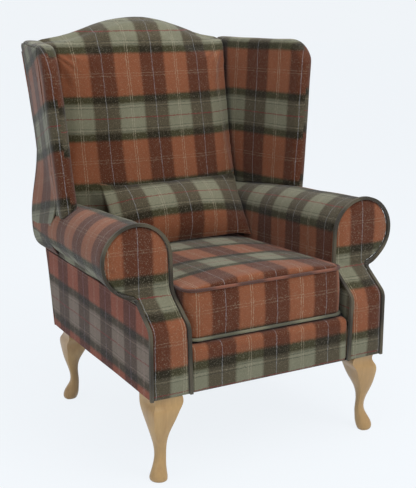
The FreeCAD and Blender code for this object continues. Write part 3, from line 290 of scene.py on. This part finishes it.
CHECK = checked_cloth("checked_wool")
# A darker, pinker copy of the check: painted shade for the outside arm covers, which face away from
# the key lamp.
SHADED_SIDE_CHECK = checked_cloth("checked_wool_painted_side_shade", (1.02, 0.80, 0.92))
GREEN_PIPING = piping_cloth("piping_grey_green", (0.100, 0.080, 0.046), (0.040, 0.031, 0.018), 7)
RED_PIPING = piping_cloth("piping_terracotta", (0.230, 0.075, 0.038), (0.090, 0.034, 0.022), 7)
PALE_PIPING = piping_cloth("piping_pale_green", (0.210, 0.200, 0.125), (0.100, 0.098, 0.062), 6)
LEG_WOOD = timber("leg_timber", (0.50, 0.320, 0.130), (0.33, 0.185, 0.070), 0.36, 0.2,
                  (38, 38, 3.0))
FRAME_WOOD = timber("frame_timber", (0.56, 0.40, 0.25), (0.40, 0.26, 0.15), 0.6, 0.0,
                    (5, 60, 60))
BLACK_CLOTH = plain_cloth("black_lining", (0.022, 0.022, 0.024), 0.0016)
WEBBING = plain_cloth("jute_webbing", (0.42, 0.32, 0.20), 0.003)
SPRING_STEEL = metal("spring_steel", (0.30, 0.30, 0.32), 0.38, (20, 300, 300))
PLATED_STEEL = metal("plated_steel", (0.62, 0.62, 0.60), 0.28, (200, 200, 20))


# Modelling helpers

def only(*pieces):
    """Selects these pieces alone, the last one active."""
    bpy.ops.object.select_all(action="DESELECT")
    for piece in pieces:
        piece.select_set(True)
    bpy.context.view_layer.objects.active = pieces[-1]


def apply_all(piece):
    only(piece)
    for modifier in list(piece.modifiers):
        bpy.ops.object.modifier_apply(modifier=modifier.name)


def add_modifier(piece, kind, **settings):
    modifier = piece.modifiers.new(kind.lower(), kind)
    for name, setting in settings.items():
        setattr(modifier, name, setting)
    return modifier


def copy_of(node, name):
    """A new piece with its own mesh, the CAD node's loose triangles merged."""
    piece = bpy.data.objects.new(name, NODES[node].data.copy())
    scene.collection.objects.link(piece)
    piece.data.materials.clear()
    only(piece)
    bpy.ops.object.mode_set(mode="EDIT")
    bpy.ops.mesh.select_all(action="SELECT")
    bpy.ops.mesh.remove_doubles(threshold=0.00002)
    bpy.ops.object.mode_set(mode="OBJECT")
    return piece


def points_of(piece):
    flat = np.empty(len(piece.data.vertices) * 3)
    piece.data.vertices.foreach_get("co", flat)
    return flat.reshape(-1, 3)


def normals_of(piece):
    flat = np.empty(len(piece.data.vertices) * 3)
    piece.data.vertex_normals.foreach_get("vector", flat)
    return flat.reshape(-1, 3)


def move_points(piece, points):
    piece.data.vertices.foreach_set("co", points.ravel())
    piece.data.update()


def remeshed(piece, cell, smoothing=0):
    add_modifier(piece, "REMESH", mode="VOXEL", voxel_size=cell, use_smooth_shade=True)
    if smoothing:
        add_modifier(piece, "SMOOTH", factor=0.5, iterations=smoothing)
    apply_all(piece)


def swollen(piece, held, cap, pressure=4.0, frames=20, slack=0.0):
    """Blows the piece up as cloth under pressure, with the points that held() picks kept still."""
    rest = points_of(piece)
    still = held(rest, normals_of(piece))
    group = piece.vertex_groups.new(name="held")
    group.add([int(i) for i in np.flatnonzero(still)], 1.0, "REPLACE")
    cloth = piece.modifiers.new("filling", "CLOTH")
    cloth.settings.vertex_group_mass = "held"
    cloth.settings.quality = 4
    cloth.settings.mass = 0.3
    cloth.settings.shrink_min = -slack
    cloth.settings.use_pressure = True
    cloth.settings.uniform_pressure_force = pressure
    cloth.settings.effector_weights.gravity = 0
    cloth.point_cache.frame_start = 1
    cloth.point_cache.frame_end = frames
    for step in range(1, frames + 1):
        scene.frame_set(step)
    only(piece)
    bpy.ops.object.modifier_apply(modifier=cloth.name)
    scene.frame_set(1)
    moved = points_of(piece) - rest
    length = np.linalg.norm(moved, axis=1)
    kept = np.minimum(1, cap / np.maximum(length, 1e-9))
    move_points(piece, rest + moved * kept[:, None])
    piece.vertex_groups.clear()


def refined(piece, levels=1):
    add_modifier(piece, "SUBSURF", levels=levels, render_levels=levels)
    apply_all(piece)
    only(piece)
    bpy.ops.object.shade_smooth()


def ruffled(piece, amount, size, seed, where=None):
    """Soft unevenness of stuffed wool: each point moves along its normal."""
    points = points_of(piece)
    shift = Vector((seed * 3.1, seed * 1.7, seed * 2.3))
    waves = np.array([noise.noise(Vector(p) / size + shift) for p in points])
    share = 1 if where is None else where(points)
    move_points(piece, points + normals_of(piece) * (waves * amount * share)[:, None])


def lay_cloth(piece, rule):
    """Writes where each corner lies on the cloth: rule gives repeats across and along it."""
    mesh = piece.data
    layer = mesh.uv_layers.get(WEAVE) or mesh.uv_layers.new(name=WEAVE)
    corners = np.empty(len(mesh.loops), int)
    mesh.loops.foreach_get("vertex_index", corners)
    sides = np.empty(len(mesh.polygons), int)
    mesh.polygons.foreach_get("loop_total", sides)
    normals = np.empty(len(mesh.polygons) * 3)
    mesh.polygons.foreach_get("normal", normals)
    centres = np.empty(len(mesh.polygons) * 3)
    mesh.polygons.foreach_get("center", centres)
    face = np.repeat(np.arange(len(sides)), sides)
    across, along = rule(points_of(piece)[corners], centres.reshape(-1, 3)[face],
                         normals.reshape(-1, 3)[face])
    layer.data.foreach_set("uv", np.column_stack((across, along)).ravel())


def finished(piece, material, body, slot, *nodes, fill=None):
    piece.data.materials.clear()
    piece.data.materials.append(material)
    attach(piece, body)
    if nodes:
        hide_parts(*nodes)
    return piece


# Angles and levels that the part is designed to, and the front as the frame has it
RAKE = math.radians(13.14)
SEAT_RAKE = math.radians(3)
FRONT_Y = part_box("left_arm_facing")[0].y
SWEEP_TOP = 0.465
SWEEP_FOOT = 0.385
SWEEP_STRETCH = 1.487


# How the check lies on each part. A whole number is the middle of a light warp stripe or of a
# terracotta band, and a half is the white line or the red line.

FRONT_LIGHT_X = 0.0875

def back_weave(points, centres, normals):
    terracotta_z, weft_repeat = 0.9205, 0.2425
    return (points[:, 0] - FRONT_LIGHT_X) / WARP_REPEAT, (points[:, 2] - terracotta_z) / weft_repeat


def arm_weave(side):
    front_centre, rear_centre = (0.329, 0.535), (0.306, 0.508)
    front_y, rear_y, mean_radius = -0.334, 0.20, 0.078
    red_line_angle = math.radians(130)
    light_y, warp_repeat = -0.064, 0.148

    def rule(points, centres, normals):
        share = np.clip((points[:, 1] - front_y) / (rear_y - front_y), 0, 1)
        centre_x = front_centre[0] + share * (rear_centre[0] - front_centre[0])
        centre_z = front_centre[1] + share * (rear_centre[1] - front_centre[1])
        out = side * points[:, 0] - centre_x
        up = points[:, 2] - centre_z
        angle = np.arctan2(up, out)
        around = 0.5 + (red_line_angle - angle) * mean_radius / WEFT_REPEAT
        at_side = 0.5 + (red_line_angle - math.pi) * mean_radius / WEFT_REPEAT
        inner_wall = (up < 0) & (side * centres[:, 0] < centre_x)
        along = np.where(inner_wall, at_side + up / WEFT_REPEAT, around)
        return (points[:, 1] - light_y) / warp_repeat, along
    return rule


def facing_weave(side):
    light_x, terracotta_z = 0.4045, 0.560

    def rule(points, centres, normals):
        height = points[:, 2]
        flat = np.maximum(height, SWEEP_TOP) - SWEEP_TOP
        swept = np.clip(height, SWEEP_FOOT, SWEEP_TOP) - SWEEP_TOP
        below = np.minimum(height, SWEEP_FOOT) - SWEEP_FOOT
        run = flat + swept * SWEEP_STRETCH + below - (terracotta_z - SWEEP_TOP)
        return (side * points[:, 0] - light_x) / WARP_REPEAT, run / WEFT_REPEAT
    return rule


def border_weave(points, centres, normals):
    lip_depth, warp_repeat, red_line_z, weft_repeat = 0.016, 0.1557, 0.2205, 0.29
    over = np.maximum(points[:, 1] - (FRONT_Y + lip_depth), 0)
    across = (points[:, 0] - FRONT_LIGHT_X) / warp_repeat
    return across, 0.5 + (points[:, 2] + over - red_line_z) / weft_repeat


WING_EDGE_RADIUS = 0.024
WING_TOP = 1.018
WING_CORNER = 0.085


def wing_weave(side, line_place, outside=False):
    """The cloth goes round the wing's front roll in one piece. Outside, it follows the rake."""
    warp_repeat, weft_repeat = 0.172, 0.252
    outer_red_line_z, inner_red_line_z = 0.818, 0.800

    def edge_out(height):
        return 0.359 + 0.084 * (height - 0.62)

    def rule(points, centres, normals):
        height = points[:, 2]
        edge_y = 0.016 + 0.042 * (height - 0.827)
        aside = edge_out(height) - side * points[:, 0]
        outer = outside | (side * centres[:, 0] > edge_out(centres[:, 2]))
        into_corner = np.clip(height - (WING_TOP - WING_CORNER), 0, WING_CORNER * 0.98)
        rounding = WING_CORNER - np.sqrt(WING_CORNER ** 2 - into_corner ** 2)
        behind = points[:, 1] - edge_y - np.where(outer, rounding, 0)
        angle = np.arctan2(np.abs(aside), WING_EDGE_RADIUS - behind)
        rolled = WING_EDGE_RADIUS * np.minimum(angle, math.pi / 2)
        flat = WING_EDGE_RADIUS * (math.pi / 2 - 1) + behind
        around = np.where(behind < WING_EDGE_RADIUS, rolled, flat)
        around = around * np.where(outer, -1, 1)
        fall = np.where(outer, np.maximum(points[:, 1] - edge_y, 0) * math.tan(RAKE), 0)
        red_line = np.where(outer, outer_red_line_z, inner_red_line_z)
        across = (around - line_place) / warp_repeat + 0.5
        return across, 0.5 + (height + fall - red_line) / weft_repeat
    return rule


def arm_cover_weave(points, centres, normals):
    light_y, warp_repeat, red_line_z = 0.0675, 0.149, 0.300
    across = (points[:, 1] - light_y) / warp_repeat
    return across, 0.5 + (points[:, 2] - red_line_z) / WEFT_REPEAT


def outside_back_weave(points, centres, normals):
    red_line_z, weft_repeat = 0.80, 0.243
    return points[:, 0] / WARP_REPEAT, 0.5 + (points[:, 2] - red_line_z) / weft_repeat


def seat_local(points):
    """Points in the seat's own frame, which is tilted back with the cushion."""
    origin = np.array((0, FRONT_Y + 0.043, 0.308))
    moved = points - origin
    cosine, sine = math.cos(SEAT_RAKE), math.sin(SEAT_RAKE)
    back = moved[:, 1] * cosine - moved[:, 2] * sine
    up = moved[:, 1] * sine + moved[:, 2] * cosine
    return np.column_stack((moved[:, 0], back, up))


CUSHION_HALF = 0.226
CUSHION_CORNER = 0.032
CUSHION_FRONT, CUSHION_REAR = -0.023, 0.551
BEAD_LEVELS = (0.0314, 0.1524)


def cushion_weave(points, centres, normals):
    local = seat_local(points)
    middle = seat_local(centres)
    x, back, up = local.T
    on_panel = (middle[:, 2] > BEAD_LEVELS[1]) | (middle[:, 2] < BEAD_LEVELS[0])
    straight = CUSHION_HALF - CUSHION_CORNER
    corner_y = CUSHION_FRONT + CUSHION_CORNER
    turn = np.arctan2(np.maximum(np.abs(x) - straight, 0), np.maximum(corner_y - back, 1e-6))
    turn = np.where(back >= corner_y, math.pi / 2, turn)
    run = np.minimum(np.abs(x), straight) + turn * CUSHION_CORNER
    run = run + np.maximum(back - corner_y, 0)
    run = np.where(back < CUSHION_REAR - 0.01, run, np.abs(x)) * np.sign(x)
    light_x, warp_repeat = 0.0955, 0.148
    top_terracotta_y, side_terracotta, side_weft_repeat = -0.352, 0.098, 0.25
    across = (np.where(on_panel, x, run) - light_x) / warp_repeat
    along = np.where(on_panel, (points[:, 1] - top_terracotta_y) / WEFT_REPEAT,
                     (up - side_terracotta) / side_weft_repeat)
    return across, along


LUMBAR_CENTRE = (0.016, 0.126, 0.532)
LUMBAR_LEAN = math.radians(32)
LUMBAR_EAR = 0.075


def lumbar_height(points):
    """How far up the leaning cushion a point is from its middle."""
    back = points[:, 1] - LUMBAR_CENTRE[1]
    up = points[:, 2] - LUMBAR_CENTRE[2]
    return back * math.sin(LUMBAR_LEAN) + up * math.cos(LUMBAR_LEAN)


def lumbar_weave(points, centres, normals):
    light_x, warp_repeat, red_line_up = 0.1095, 0.160, 0.041
    across = (points[:, 0] - light_x) / warp_repeat
    return across, 0.5 + (lumbar_height(points) - red_line_up) / WEFT_REPEAT


# Soft parts

def make_inside_back():
    piece = copy_of("inside_back", "back_pad")
    remeshed(piece, cell=0.0065, smoothing=3)
    swollen(piece, lambda p, n: (n[:, 1] > 0.2) | (p[:, 2] < 0.46),
            cap=0.010, pressure=3.0)
    refined(piece)
    ruffled(piece, amount=0.0035, size=0.16, seed=1)
    lay_cloth(piece, back_weave)
    return finished(piece, CHECK, "chair", "checked_wool", "inside_back", fill=0.8)


def make_arm_pad(side, name):
    node = name + "_arm_pad"
    piece = copy_of(node, name + "_arm_roll")
    remeshed(piece, cell=0.0055, smoothing=4)
    refined(piece)
    ruffled(piece, amount=0.0030, size=0.11, seed=2 + side)
    lay_cloth(piece, arm_weave(side))
    return finished(piece, CHECK, "chair", "checked_wool", node, fill=0.85)


def make_wing_pad(side, name, line_place):
    node = name + "_wing_pad"
    piece = copy_of(node, name + "_wing_padding")
    remeshed(piece, cell=0.005, smoothing=4)
    refined(piece)
    ruffled(piece, amount=0.0025, size=0.12, seed=4 + side)
    lay_cloth(piece, wing_weave(side, line_place))
    return finished(piece, CHECK, "chair", "checked_wool", node, fill=0.8)


def make_facing(side, name):
    node = name + "_arm_facing"
    piece = copy_of(node, name + "_scroll_facing")
    remeshed(piece, cell=0.004, smoothing=3)
    swollen(piece, lambda p, n: n[:, 1] > -0.15, cap=0.003, pressure=2.0)
    refined(piece)
    lay_cloth(piece, facing_weave(side))
    return finished(piece, CHECK, "chair", "checked_wool", node, fill=0.8)


def make_border():
    piece = copy_of("front_border", "front_border_cover")
    remeshed(piece, cell=0.004, smoothing=3)
    refined(piece)
    ruffled(piece, amount=0.002, size=0.09, seed=9)
    lay_cloth(piece, border_weave)
    return finished(piece, CHECK, "chair", "checked_wool", "front_border", fill=0.8)


def gridded(piece, cell, axes=(0, 1, 2)):
    """Cuts a flat panel into squares, so that it can be shaped."""
    only(piece)
    bpy.ops.object.mode_set(mode="EDIT")
    bpy.ops.mesh.select_all(action="SELECT")
    bpy.ops.mesh.dissolve_limited(angle_limit=0.01)
    points = [vertex.co.copy() for vertex in piece.data.vertices]
    for axis in axes:
        low = min(point[axis] for point in points)
        high = max(point[axis] for point in points)
        count = int((high - low) / cell)
        for step in range(1, count + 1):
            place = Vector((0, 0, 0))
            place[axis] = low + (high - low) * step / (count + 1)
            normal = Vector((0, 0, 0))
            normal[axis] = 1
            bpy.ops.mesh.select_all(action="SELECT")
            bpy.ops.mesh.bisect(plane_co=place, plane_no=normal)
    bpy.ops.object.mode_set(mode="OBJECT")


def make_panel(node, name, rule, material, axes, seed, amount=0.0012):
    """An outside cover: tacked cloth with a soft edge and a slight unevenness."""
    piece = copy_of(node, name)
    gridded(piece, 0.02, axes)
    ruffled(piece, amount, 0.10, seed)
    only(piece)
    bpy.ops.object.shade_smooth_by_angle(angle=math.radians(40))
    lay_cloth(piece, rule)
    return finished(piece, material, "chair", "checked_wool", node, fill=0.3)


# The wing's outside cover runs down over the rear of the arm roll and flares to the neck seam.
# Each row: height, then how far out and how far back its front end is, then its rear end out.
SKIRT_ROWS = (
    (0.735, 0.3700, 0.150, 0.3290),
    (0.680, 0.3690, 0.120, 0.3350),
    (0.630, 0.3690, 0.095, 0.3480),
    (0.595, 0.3720, 0.085, 0.3580),
    (0.562, 0.3770, 0.095, 0.3650),
    (0.530, 0.3870, 0.105, 0.3700),
    (0.490, 0.3810, 0.115, 0.3715),
    (0.465, 0.3650, 0.130, 0.3680),
    (0.448, 0.3500, 0.150, 0.3570),
    (0.437, 0.3400, 0.165, 0.3400),
)
SKIRT_COLUMNS = 9


def rear_edge(height):
    """How far back the chair's raked rear edge is at this height."""
    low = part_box("outside_back")[0]
    return low.y + (height - low.z) * math.tan(RAKE) - 0.003


def make_wing_skirt(side, name):
    bpy.ops.object.select_all(action="DESELECT")
    bpy.ops.mesh.primitive_grid_add(x_subdivisions=SKIRT_COLUMNS - 1,
                                    y_subdivisions=len(SKIRT_ROWS) - 1, size=1)
    piece = bpy.context.object
    piece.name = name + "_wing_skirt"
    for vertex in piece.data.vertices:
        share = vertex.co.x + 0.5
        row = SKIRT_ROWS[round((0.5 - vertex.co.y) * (len(SKIRT_ROWS) - 1))]
        height, front_out, front_y, rear_out = row
        out = front_out + (rear_out - front_out) * share
        vertex.co = (side * out, front_y + (rear_edge(height) - front_y) * share, height)
    only(piece)
    bpy.ops.object.mode_set(mode="EDIT")
    bpy.ops.mesh.select_all(action="SELECT")
    bpy.ops.mesh.normals_make_consistent(inside=False)
    bpy.ops.object.mode_set(mode="OBJECT")
    if piece.data.polygons[0].normal.x * side < 0:
        piece.data.flip_normals()
    add_modifier(piece, "SUBSURF", levels=2, render_levels=2)
    add_modifier(piece, "SOLIDIFY", thickness=0.0035, offset=-1)
    apply_all(piece)
    return piece


def make_wing_outside(side, name, line_place):
    node = name + "_wing_outside_cover"
    piece = copy_of(node, name + "_wing_outside")
    gridded(piece, 0.02, (1, 2))
    skirt = make_wing_skirt(side, name)
    only(skirt, piece)
    bpy.ops.object.join()
    ruffled(piece, amount=0.0012, size=0.10, seed=12 + side)
    only(piece)
    bpy.ops.object.shade_smooth_by_angle(angle=math.radians(40))
    lay_cloth(piece, wing_weave(side, line_place, True))
    return finished(piece, CHECK, "chair", "checked_wool", node, fill=0.3)


def make_seat_cushion():
    piece = copy_of("seat_cushion", "seat_cushion_cover")
    remeshed(piece, cell=0.0055, smoothing=3)

    def seams(points, normals):
        up = seat_local(points)[:, 2]
        on_bead = np.minimum(abs(up - BEAD_LEVELS[0]), abs(up - BEAD_LEVELS[1])) < 0.006
        return on_bead | (up < BEAD_LEVELS[0])

    swollen(piece, seams, cap=0.006, pressure=3.0)
    refined(piece)
    ruffled(piece, 0.0022, 0.10, 6, lambda p: np.clip((seat_local(p)[:, 2] - 0.035) / 0.03, 0, 1))
    lay_cloth(piece, cushion_weave)
    return finished(piece, CHECK, "seat_cushion", "checked_wool", "seat_cushion", fill=0.75)


def make_lumbar_cushion():
    piece = copy_of("lumbar_cushion", "lumbar_cushion_cover")
    remeshed(piece, cell=0.0045, smoothing=1)
    refined(piece)

    def gathered(points):
        """Folds that start at the seam and die out towards the middle."""
        across = np.abs(points[:, 0] - LUMBAR_CENTRE[0]) / 0.213
        height = np.abs(lumbar_height(points)) / 0.1
        return np.clip(np.maximum(across, height) - 0.35, 0, 1)

    points = points_of(piece)
    out = (points[:, 0] - LUMBAR_CENTRE[0]) / 0.213
    up = lumbar_height(points) / 0.094
    ear = np.clip(np.abs(out) - 0.80, 0, 1) * np.clip(np.abs(up) - 0.35, 0, 1) * LUMBAR_EAR
    lean = np.array((0, math.sin(LUMBAR_LEAN), math.cos(LUMBAR_LEAN)))
    points[:, 0] += np.sign(out) * ear
    points += (np.sign(up) * ear)[:, None] * lean
    move_points(piece, points)
    ruffled(piece, 0.004, 0.05, 8, gathered)
    ruffled(piece, amount=0.002, size=0.09, seed=11)
    lay_cloth(piece, lumbar_weave)
    return finished(piece, CHECK, "lumbar_cushion", "checked_wool", "lumbar_cushion", fill=0.7)


def make_deck():
    piece = copy_of("seat_deck", "seat_deck_cover")
    gridded(piece, 0.03, (0, 1))
    only(piece)
    bpy.ops.object.shade_smooth_by_angle(angle=math.radians(40))
    return finished(piece, BLACK_CLOTH, "chair", "black_cloth", "seat_deck", fill=0.7)


def make_bottom_cloth():
    piece = copy_of("bottom_cloth", "bottom_lining")
    finished(piece, BLACK_CLOTH, "chair", "black_cloth", "bottom_cloth")
    return piece


make_inside_back()
for side, name, line_place in ((1, "right", 0.017), (-1, "left", -0.009)):
    make_arm_pad(side, name)
    make_wing_pad(side, name, line_place)
    make_facing(side, name)
    make_wing_outside(side, name, line_place)
    # The outside arm covers take the tinted copy of the check, which is painted shade.
    make_panel(name + "_arm_outside_cover", name + "_arm_outside", arm_cover_weave,
               SHADED_SIDE_CHECK, (1, 2), 15 + side)
make_border()
make_panel("outside_back", "back_outside", outside_back_weave, CHECK, (0, 2), 18, 0.002)
make_seat_cushion()
make_lumbar_cushion()
make_deck()
make_bottom_cloth()

CORD_UNEVENNESS = 0.0003


def make_covered(node, name, material, body, slot, seed):
    """A cord or a set of straps: the form is the frame's, with the unevenness of cloth."""
    piece = copy_of(node, name)
    ruffled(piece, CORD_UNEVENNESS, 0.03, seed)
    only(piece)
    bpy.ops.object.shade_smooth_by_angle(angle=math.radians(40))
    return finished(piece, material, body, slot, node)


make_covered("seat_cushion_top_piping", "cushion_top_cord", RED_PIPING,
             "seat_cushion", "piping_wool", 21)
make_covered("seat_cushion_bottom_piping", "cushion_bottom_cord", PALE_PIPING,
             "seat_cushion", "piping_wool", 22)
make_covered("right_facing_piping", "right_facing_cord", GREEN_PIPING, "chair", "piping_wool", 23)
make_covered("left_facing_piping", "left_facing_cord", GREEN_PIPING, "chair", "piping_wool", 24)
make_covered("back_webbing", "back_webbing_straps", WEBBING, "chair", "webbing", 25)

# CAD nodes that keep their shape and get their finish

KEPT = {
    FRAME_WOOD: ["front_seat_rail", "rear_seat_rail", "corner_blocks", "crest_rail", "stay_rail"],
    LEG_WOOD: ["front_right_leg", "front_left_leg", "rear_right_leg", "rear_left_leg"],
    SPRING_STEEL: ["seat_springs"],
    PLATED_STEEL: ["spring_clips", "leg_bolts", "leg_nuts"],
}
for name in ("side_seat_rail", "arm_stump", "arm_rail", "back_post", "wing_post", "wing_rail"):
    KEPT[FRAME_WOOD] += ["right_" + name, "left_" + name]
for material, names in KEPT.items():
    for name in names:
        NODES[name].data.materials.clear()
        NODES[name].data.materials.append(material)


# Studio

BACKGROUND = (0.871, 0.905, 0.939)


def make_floor():
    bpy.ops.object.select_all(action="DESELECT")
    bpy.ops.mesh.primitive_plane_add(size=40, location=(0, 0, 0))
    floor = bpy.context.object
    floor.name = "studio_floor"
    paper = Finish("studio_paper")
    seen = paper.node("ShaderNodeLightPath", {}, {}, "Is Camera Ray")
    glossy = paper.node("ShaderNodeLightPath", {}, {}, "Is Glossy Ray")
    lit = paper.node("ShaderNodeBsdfDiffuse", {}, {"Color": (0.80, 0.83, 0.86, 1)})
    glow = paper.node("ShaderNodeEmission", {}, {"Color": (*BACKGROUND, 1), "Strength": 1.05})
    share = (seen + glossy).maths("MULTIPLY", 0.9, clamp=True)
    surface = paper.node("ShaderNodeMixShader", {}, {0: share, 1: lit, 2: glow})
    paper.node("ShaderNodeOutputMaterial", {}, {"Surface": surface})
    floor.data.materials.append(paper.material)


def make_world():
    world = bpy.data.worlds.new("studio_air")
    scene.world = world
    world.use_nodes = True
    nodes, links = world.node_tree.nodes, world.node_tree.links
    nodes.clear()
    path = nodes.new("ShaderNodeLightPath")
    soft = nodes.new("ShaderNodeBackground")
    soft.inputs["Color"].default_value = (0.90, 0.95, 1.0, 1)
    soft.inputs["Strength"].default_value = 0.62
    seen = nodes.new("ShaderNodeBackground")
    seen.inputs["Color"].default_value = (*BACKGROUND, 1)
    seen.inputs["Strength"].default_value = 1.0
    mix = nodes.new("ShaderNodeMixShader")
    out = nodes.new("ShaderNodeOutputWorld")
    links.new(path.outputs["Is Camera Ray"], mix.inputs[0])
    links.new(soft.outputs[0], mix.inputs[1])
    links.new(seen.outputs[0], mix.inputs[2])
    links.new(mix.outputs[0], out.inputs["Surface"])


def make_lamp(name, place, aim, size, power, colour=(1, 1, 1)):
    lamp = bpy.data.lights.new(name, "AREA")
    lamp.size = size
    lamp.energy = power
    lamp.color = colour
    holder = bpy.data.objects.new(name, lamp)
    scene.collection.objects.link(holder)
    holder.location = place
    holder.rotation_euler = (Vector(aim) - Vector(place)).to_track_quat("-Z", "Y").to_euler()


def make_camera():
    yaw, pitch = 0.504257616, 0.244615712
    image_height, focal_pixels = 488, 980
    place = (-1.25356, -2.35413, 1.13103)
    camera = bpy.data.cameras.new("camera")
    camera.sensor_width = 36
    camera.lens = focal_pixels / image_height * camera.sensor_width
    camera.clip_end = 100
    holder = bpy.data.objects.new("camera", camera)
    scene.collection.objects.link(holder)
    holder.location = place
    forward = Vector((math.sin(yaw) * math.cos(pitch), math.cos(yaw) * math.cos(pitch),
                      -math.sin(pitch)))
    holder.rotation_euler = forward.to_track_quat("-Z", "Y").to_euler()
    scene.camera = holder


make_floor()
make_world()
make_lamp("key", (1.0, -2.6, 3.2), (0, 0, 0.6), 2.2, 62, (1.0, 0.97, 0.93))
make_lamp("fill", (-3.0, -1.2, 1.8), (0, 0, 0.6), 2.5, 16, (0.95, 0.97, 1.0))
make_lamp("top", (0.2, -0.2, 3.4), (0, 0, 0.6), 2.5, 34)
make_camera()
scene.view_settings.view_transform = "Standard"
